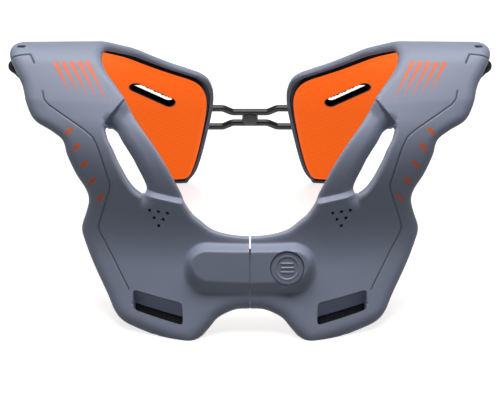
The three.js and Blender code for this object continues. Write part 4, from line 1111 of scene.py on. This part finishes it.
def sweepBar(sign):
    keys = np.array([(-wingEdge - connector["plate"] + 2, connector["outer"] / 2), (-wingEdge * 0.66, connector["outer"] / 2),
                     (-wingEdge * 0.43, connector["inner"] / 2), (wingEdge * 0.43, connector["inner"] / 2),
                     (wingEdge * 0.66, connector["outer"] / 2), (wingEdge + connector["plate"] - 2, connector["outer"] / 2)])
    line = resample(keys, 0.7, False)
    for _ in range(4):
        line[1:-1] = line[1:-1] / 2 + (line[2:] + line[:-2]) / 4
    way = np.gradient(line, axis=0)
    way /= np.linalg.norm(way, axis=1, keepdims=True)
    turn = np.linspace(0, 2 * np.pi, 21)[:-1]
    cu = np.sign(np.cos(turn)) * np.abs(np.cos(turn)) ** 0.55 * connector["width"] / 2
    cw = np.sign(np.sin(turn)) * np.abs(np.sin(turn)) ** 0.55 * (connector["thickness"] / 2 - 0.05)
    middle = connector["seat"] + connector["thickness"] / 2
    u = line[:, 0:1] - way[:, 1:2] * cu
    v = sign * (line[:, 1:2] + way[:, 0:1] * cu)
    points = inConnector(u, v, middle + cw + 0 * u).reshape(-1, 3)
    n = len(turn)
    tris = []
    for k in range(len(line) - 1):
        for i in range(n):
            j = (i + 1) % n
            a, b, c, d = k * n + i, k * n + j, (k + 1) * n + j, (k + 1) * n + i
            tris += [(a, b, c), (a, c, d)]
    for k in (0, len(line) - 1):
        ring = [k * n + i for i in range(n)]
        fan = [(ring[0], ring[i + 1], ring[i]) for i in range(1, n - 1)]
        tris += fan if k == 0 else [f[::-1] for f in fan]
    return points, np.array(tris)


def roundedPlate(u0, u1, v1, w0, w1, soft):
    # plate with softened edges, from stacked insets
    stack = [(soft, w0), (soft * 0.3, w0 + soft * 0.3), (0, w0 + soft), (0, w1 - soft), (soft * 0.3, w1 - soft * 0.3), (soft, w1)]
    corner = 2.2
    points = []
    for inset, w in stack:
        r = max(corner - inset, 0.3)
        ring = []
        for cu, cv, start in ((u1, v1, 0), (u0, v1, 1), (u0, -v1, 2), (u1, -v1, 3)):
            su, sv = (1 if cu == u1 else -1), (1 if cv > 0 else -1)
            angle = np.linspace(0, np.pi / 2, 6) + start * np.pi / 2
            mu, mv = cu - su * (inset + r), cv - sv * (inset + r)
            ring += [(mu + r * math.cos(a), mv + r * math.sin(a)) for a in angle]
        points.append(inConnector([p[0] for p in ring], [p[1] for p in ring], np.full(len(ring), w)))
    return stackSkin(points)


def stackSkin(rings):
    n = len(rings[0])
    verts = np.vstack(rings)
    tris = []
    for k in range(len(rings) - 1):
        for i in range(n):
            j = (i + 1) % n
            a, b, c, d = k * n + i, k * n + j, (k + 1) * n + j, (k + 1) * n + i
            tris += [(a, b, c), (a, c, d)]
    last = (len(rings) - 1) * n
    tris += [(0, i + 1, i) for i in range(1, n - 1)]
    tris += [(last, last + i, last + i + 1) for i in range(1, n - 1)]
    return verts, np.array(tris)


def turned(u0, v0, profile, sides=40):
    # rings of (radius, w) about an axis out of the connector
    turn = np.linspace(0, 2 * np.pi, sides + 1)[:-1]
    rings = [inConnector(u0 + np.cos(turn) * r, v0 + np.sin(turn) * r, np.full(sides, w)) for r, w in profile]
    return stackSkin(rings)


def joinParts(parts):
    verts, tris, count = [], [], 0
    for v, t in parts:
        verts.append(v)
        tris.append(t + count)
        count += len(v)
    return np.vstack(verts), np.vstack(tris)


w0 = connector["seat"]
w1 = connector["seat"] + connector["thickness"]
hubR = connector["hub"] / 2
hub = turned(0, 0, [(hubR * 0.8, w0 - 1), (hubR, w0 - 0.4), (hubR, w1 + 0.4), (hubR * 0.93, w1 + 0.9),
                    (hubR * 0.7, w1 + 0.9), (hubR * 0.66, w1 + 0.5), (0.4, w1 + 0.5)])
reach = connector["plateReach"]
parts = [sweepBar(1), sweepBar(-1), hub]
for sign in (1, -1):
    u0, u1 = sorted((sign * (wingEdge + connector["plateInset"]), sign * (wingEdge + connector["plate"])))
    parts.append(roundedPlate(u0, u1, reach, w0, w1, 0.8))
verts, tris = joinParts(parts)
piece = makeMesh("rearConnector", verts, tris, None, None, None, False, 50)
finishPiece(piece, [blackMoulding], "frame", ["rear_connector"])

screwSteel = blackNylon("blackOxideScrewSteel", 0.3)
screwSteel.node_tree.nodes["Principled BSDF"].inputs["Metallic"].default_value = 0.8
for side, sign in (("right", 1), ("left", -1)):
    for level, up in (("upper", 1), ("lower", -1)):
        u = sign * (wingEdge + (connector["plate"] + connector["plateInset"]) / 2)
        v = up * connector["screwSpread"]
        r = connector["screw"] / 2
        w = w1 + 0.3
        verts, tris = turned(u, v, [(r, w), (r, w + 0.5), (r * 0.9, w + 1.1), (r * 0.62, w + 1.5), (r * 0.46, w + 1.55),
                                    (r * 0.44, w + 0.5), (0.1, w + 0.5)], 36)
        piece = makeMesh("connectorScrew." + level + "." + side, verts, tris, None, None, None, False, 35)
        finishPiece(piece, [screwSteel], "frame", ["connector_screw_" + level + "_" + side])
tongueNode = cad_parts["latch_tongue"]
for materialSlot in tongueNode.material_slots:
    materialSlot.material = blackMoulding
print("connector, screws and latch tongue")


# ---------------------------------------------------------------- camera, floor and light
photoView = {"elevation": 28.0, "distance": 1.5, "focalPx": 1936.6, "rowOfAim": 166.8, "aimBack": -0.025,
             "aimDrop": -0.0915, "columnOfAim": 250.5}


def placeCamera():
    e = math.radians(photoView["elevation"])
    ridgeY = yShift * mm
    aim = Vector((0, ridgeY + photoView["aimBack"], brace["height"] * mm + photoView["aimDrop"]))
    ahead = Vector((0, math.cos(e), -math.sin(e)))
    data = bpy.data.cameras.new("photoCamera")
    data.sensor_width = 36.0
    data.lens = photoView["focalPx"] / 500 * 36
    camera = bpy.data.objects.new("photoCamera", data)
    bpy.context.scene.collection.objects.link(camera)
    camera.location = aim - ahead * photoView["distance"]
    # the aim point sits above the middle of the picture, so the camera looks a little lower
    lower = math.atan((417 / 2 - photoView["rowOfAim"]) / photoView["focalPx"])
    tilt = e + lower
    ahead = Vector((0, math.cos(tilt), -math.sin(tilt)))
    camera.rotation_euler = ahead.to_track_quat("-Z", "Y").to_euler()
    bpy.context.scene.camera = camera


placeCamera()


def softBox(name, spot, aim, size, power):
    data = bpy.data.lights.new(name, "AREA")
    data.shape = "RECTANGLE"
    data.size, data.size_y = size
    data.energy = power
    lamp = bpy.data.objects.new(name, data)
    bpy.context.scene.collection.objects.link(lamp)
    lamp.location = spot
    lamp.rotation_euler = (Vector(aim) - Vector(spot)).to_track_quat("-Z", "Y").to_euler()


studio = {"floor": "#b4b4b4", "keyStrength": 1.9, "keySpread": 44.0, "keyBehind": 14.0, "ambient": 0.025,
          "bounce": 0.04, "fillPower": 1.4, "tableGlow": 0.8, "nearPower": 1.9}
floorMesh = bpy.data.meshes.new("studioFloor")
floorMesh.from_pydata([(-30, -30, -0.0005), (30, -30, -0.0005), (30, 30, -0.0005), (-30, 30, -0.0005)], [], [(0, 1, 2, 3)])
floor = bpy.data.objects.new("studioFloor", floorMesh)
bpy.context.scene.collection.objects.link(floor)


def paleFloor():
    # lit white table: a glow under a matt sheet, its bounce held back as black flags would do
    material, tree, shader = newMaterial("paleStudioFloor")
    shader.inputs["Base Color"].default_value = sRgb(studio["floor"])
    shader.inputs["Roughness"].default_value = 0.95
    shader.inputs["Specular IOR Level"].default_value = 0.1
    shader.inputs["Emission Color"].default_value = (1, 1, 1, 1)
    shader.inputs["Emission Strength"].default_value = studio["tableGlow"]
    ray = addNode(tree, "ShaderNodeLightPath")
    flag = addNode(tree, "ShaderNodeBsdfDiffuse", {"Color": [studio["bounce"]] * 3 + [1.0]})
    mix = addNode(tree, "ShaderNodeMixShader", None, {0: ray.outputs["Is Diffuse Ray"], 1: shader.outputs[0],
                                                      2: flag.outputs[0]})
    tree.links.new(mix.outputs[0], tree.nodes["Material Output"].inputs[0])
    return material


floorMesh.materials.append(paleFloor())


def whiteWorld():
    # white backdrop, dim as a light
    world = bpy.data.worlds.new("studioWorld")
    bpy.context.scene.world = world
    world.use_nodes = True
    tree = world.node_tree
    back = tree.nodes["Background"]
    back.inputs[0].default_value = (1, 1, 1, 1)
    back.inputs[1].default_value = studio["ambient"]
    ray = addNode(tree, "ShaderNodeLightPath")
    seen = addNode(tree, "ShaderNodeBackground", {"Color": (1, 1, 1, 1), "Strength": 1.0})
    mix = addNode(tree, "ShaderNodeMixShader", None, {0: ray.outputs["Is Camera Ray"], 1: back.outputs[0],
                                                      2: seen.outputs[0]})
    tree.links.new(mix.outputs[0], tree.nodes["World Output"].inputs[0])


whiteWorld()
keyData = bpy.data.lights.new("overheadSoftLight", "SUN")
keyData.energy = studio["keyStrength"]
keyData.angle = math.radians(studio["keySpread"])
key = bpy.data.objects.new("overheadSoftLight", keyData)
bpy.context.scene.collection.objects.link(key)
key.rotation_euler = (-math.radians(studio["keyBehind"]), 0, 0)
softBox("nearOverhead", (0, 0.02, 0.62), (0, 0, 0), (0.9, 0.2), studio["nearPower"])
softBox("frontFill", (0.0, -2.0, 0.55), (0, 0, 0.1), (1.8, 0.6), studio["fillPower"])
bpy.context.scene.view_settings.view_transform = "Standard"
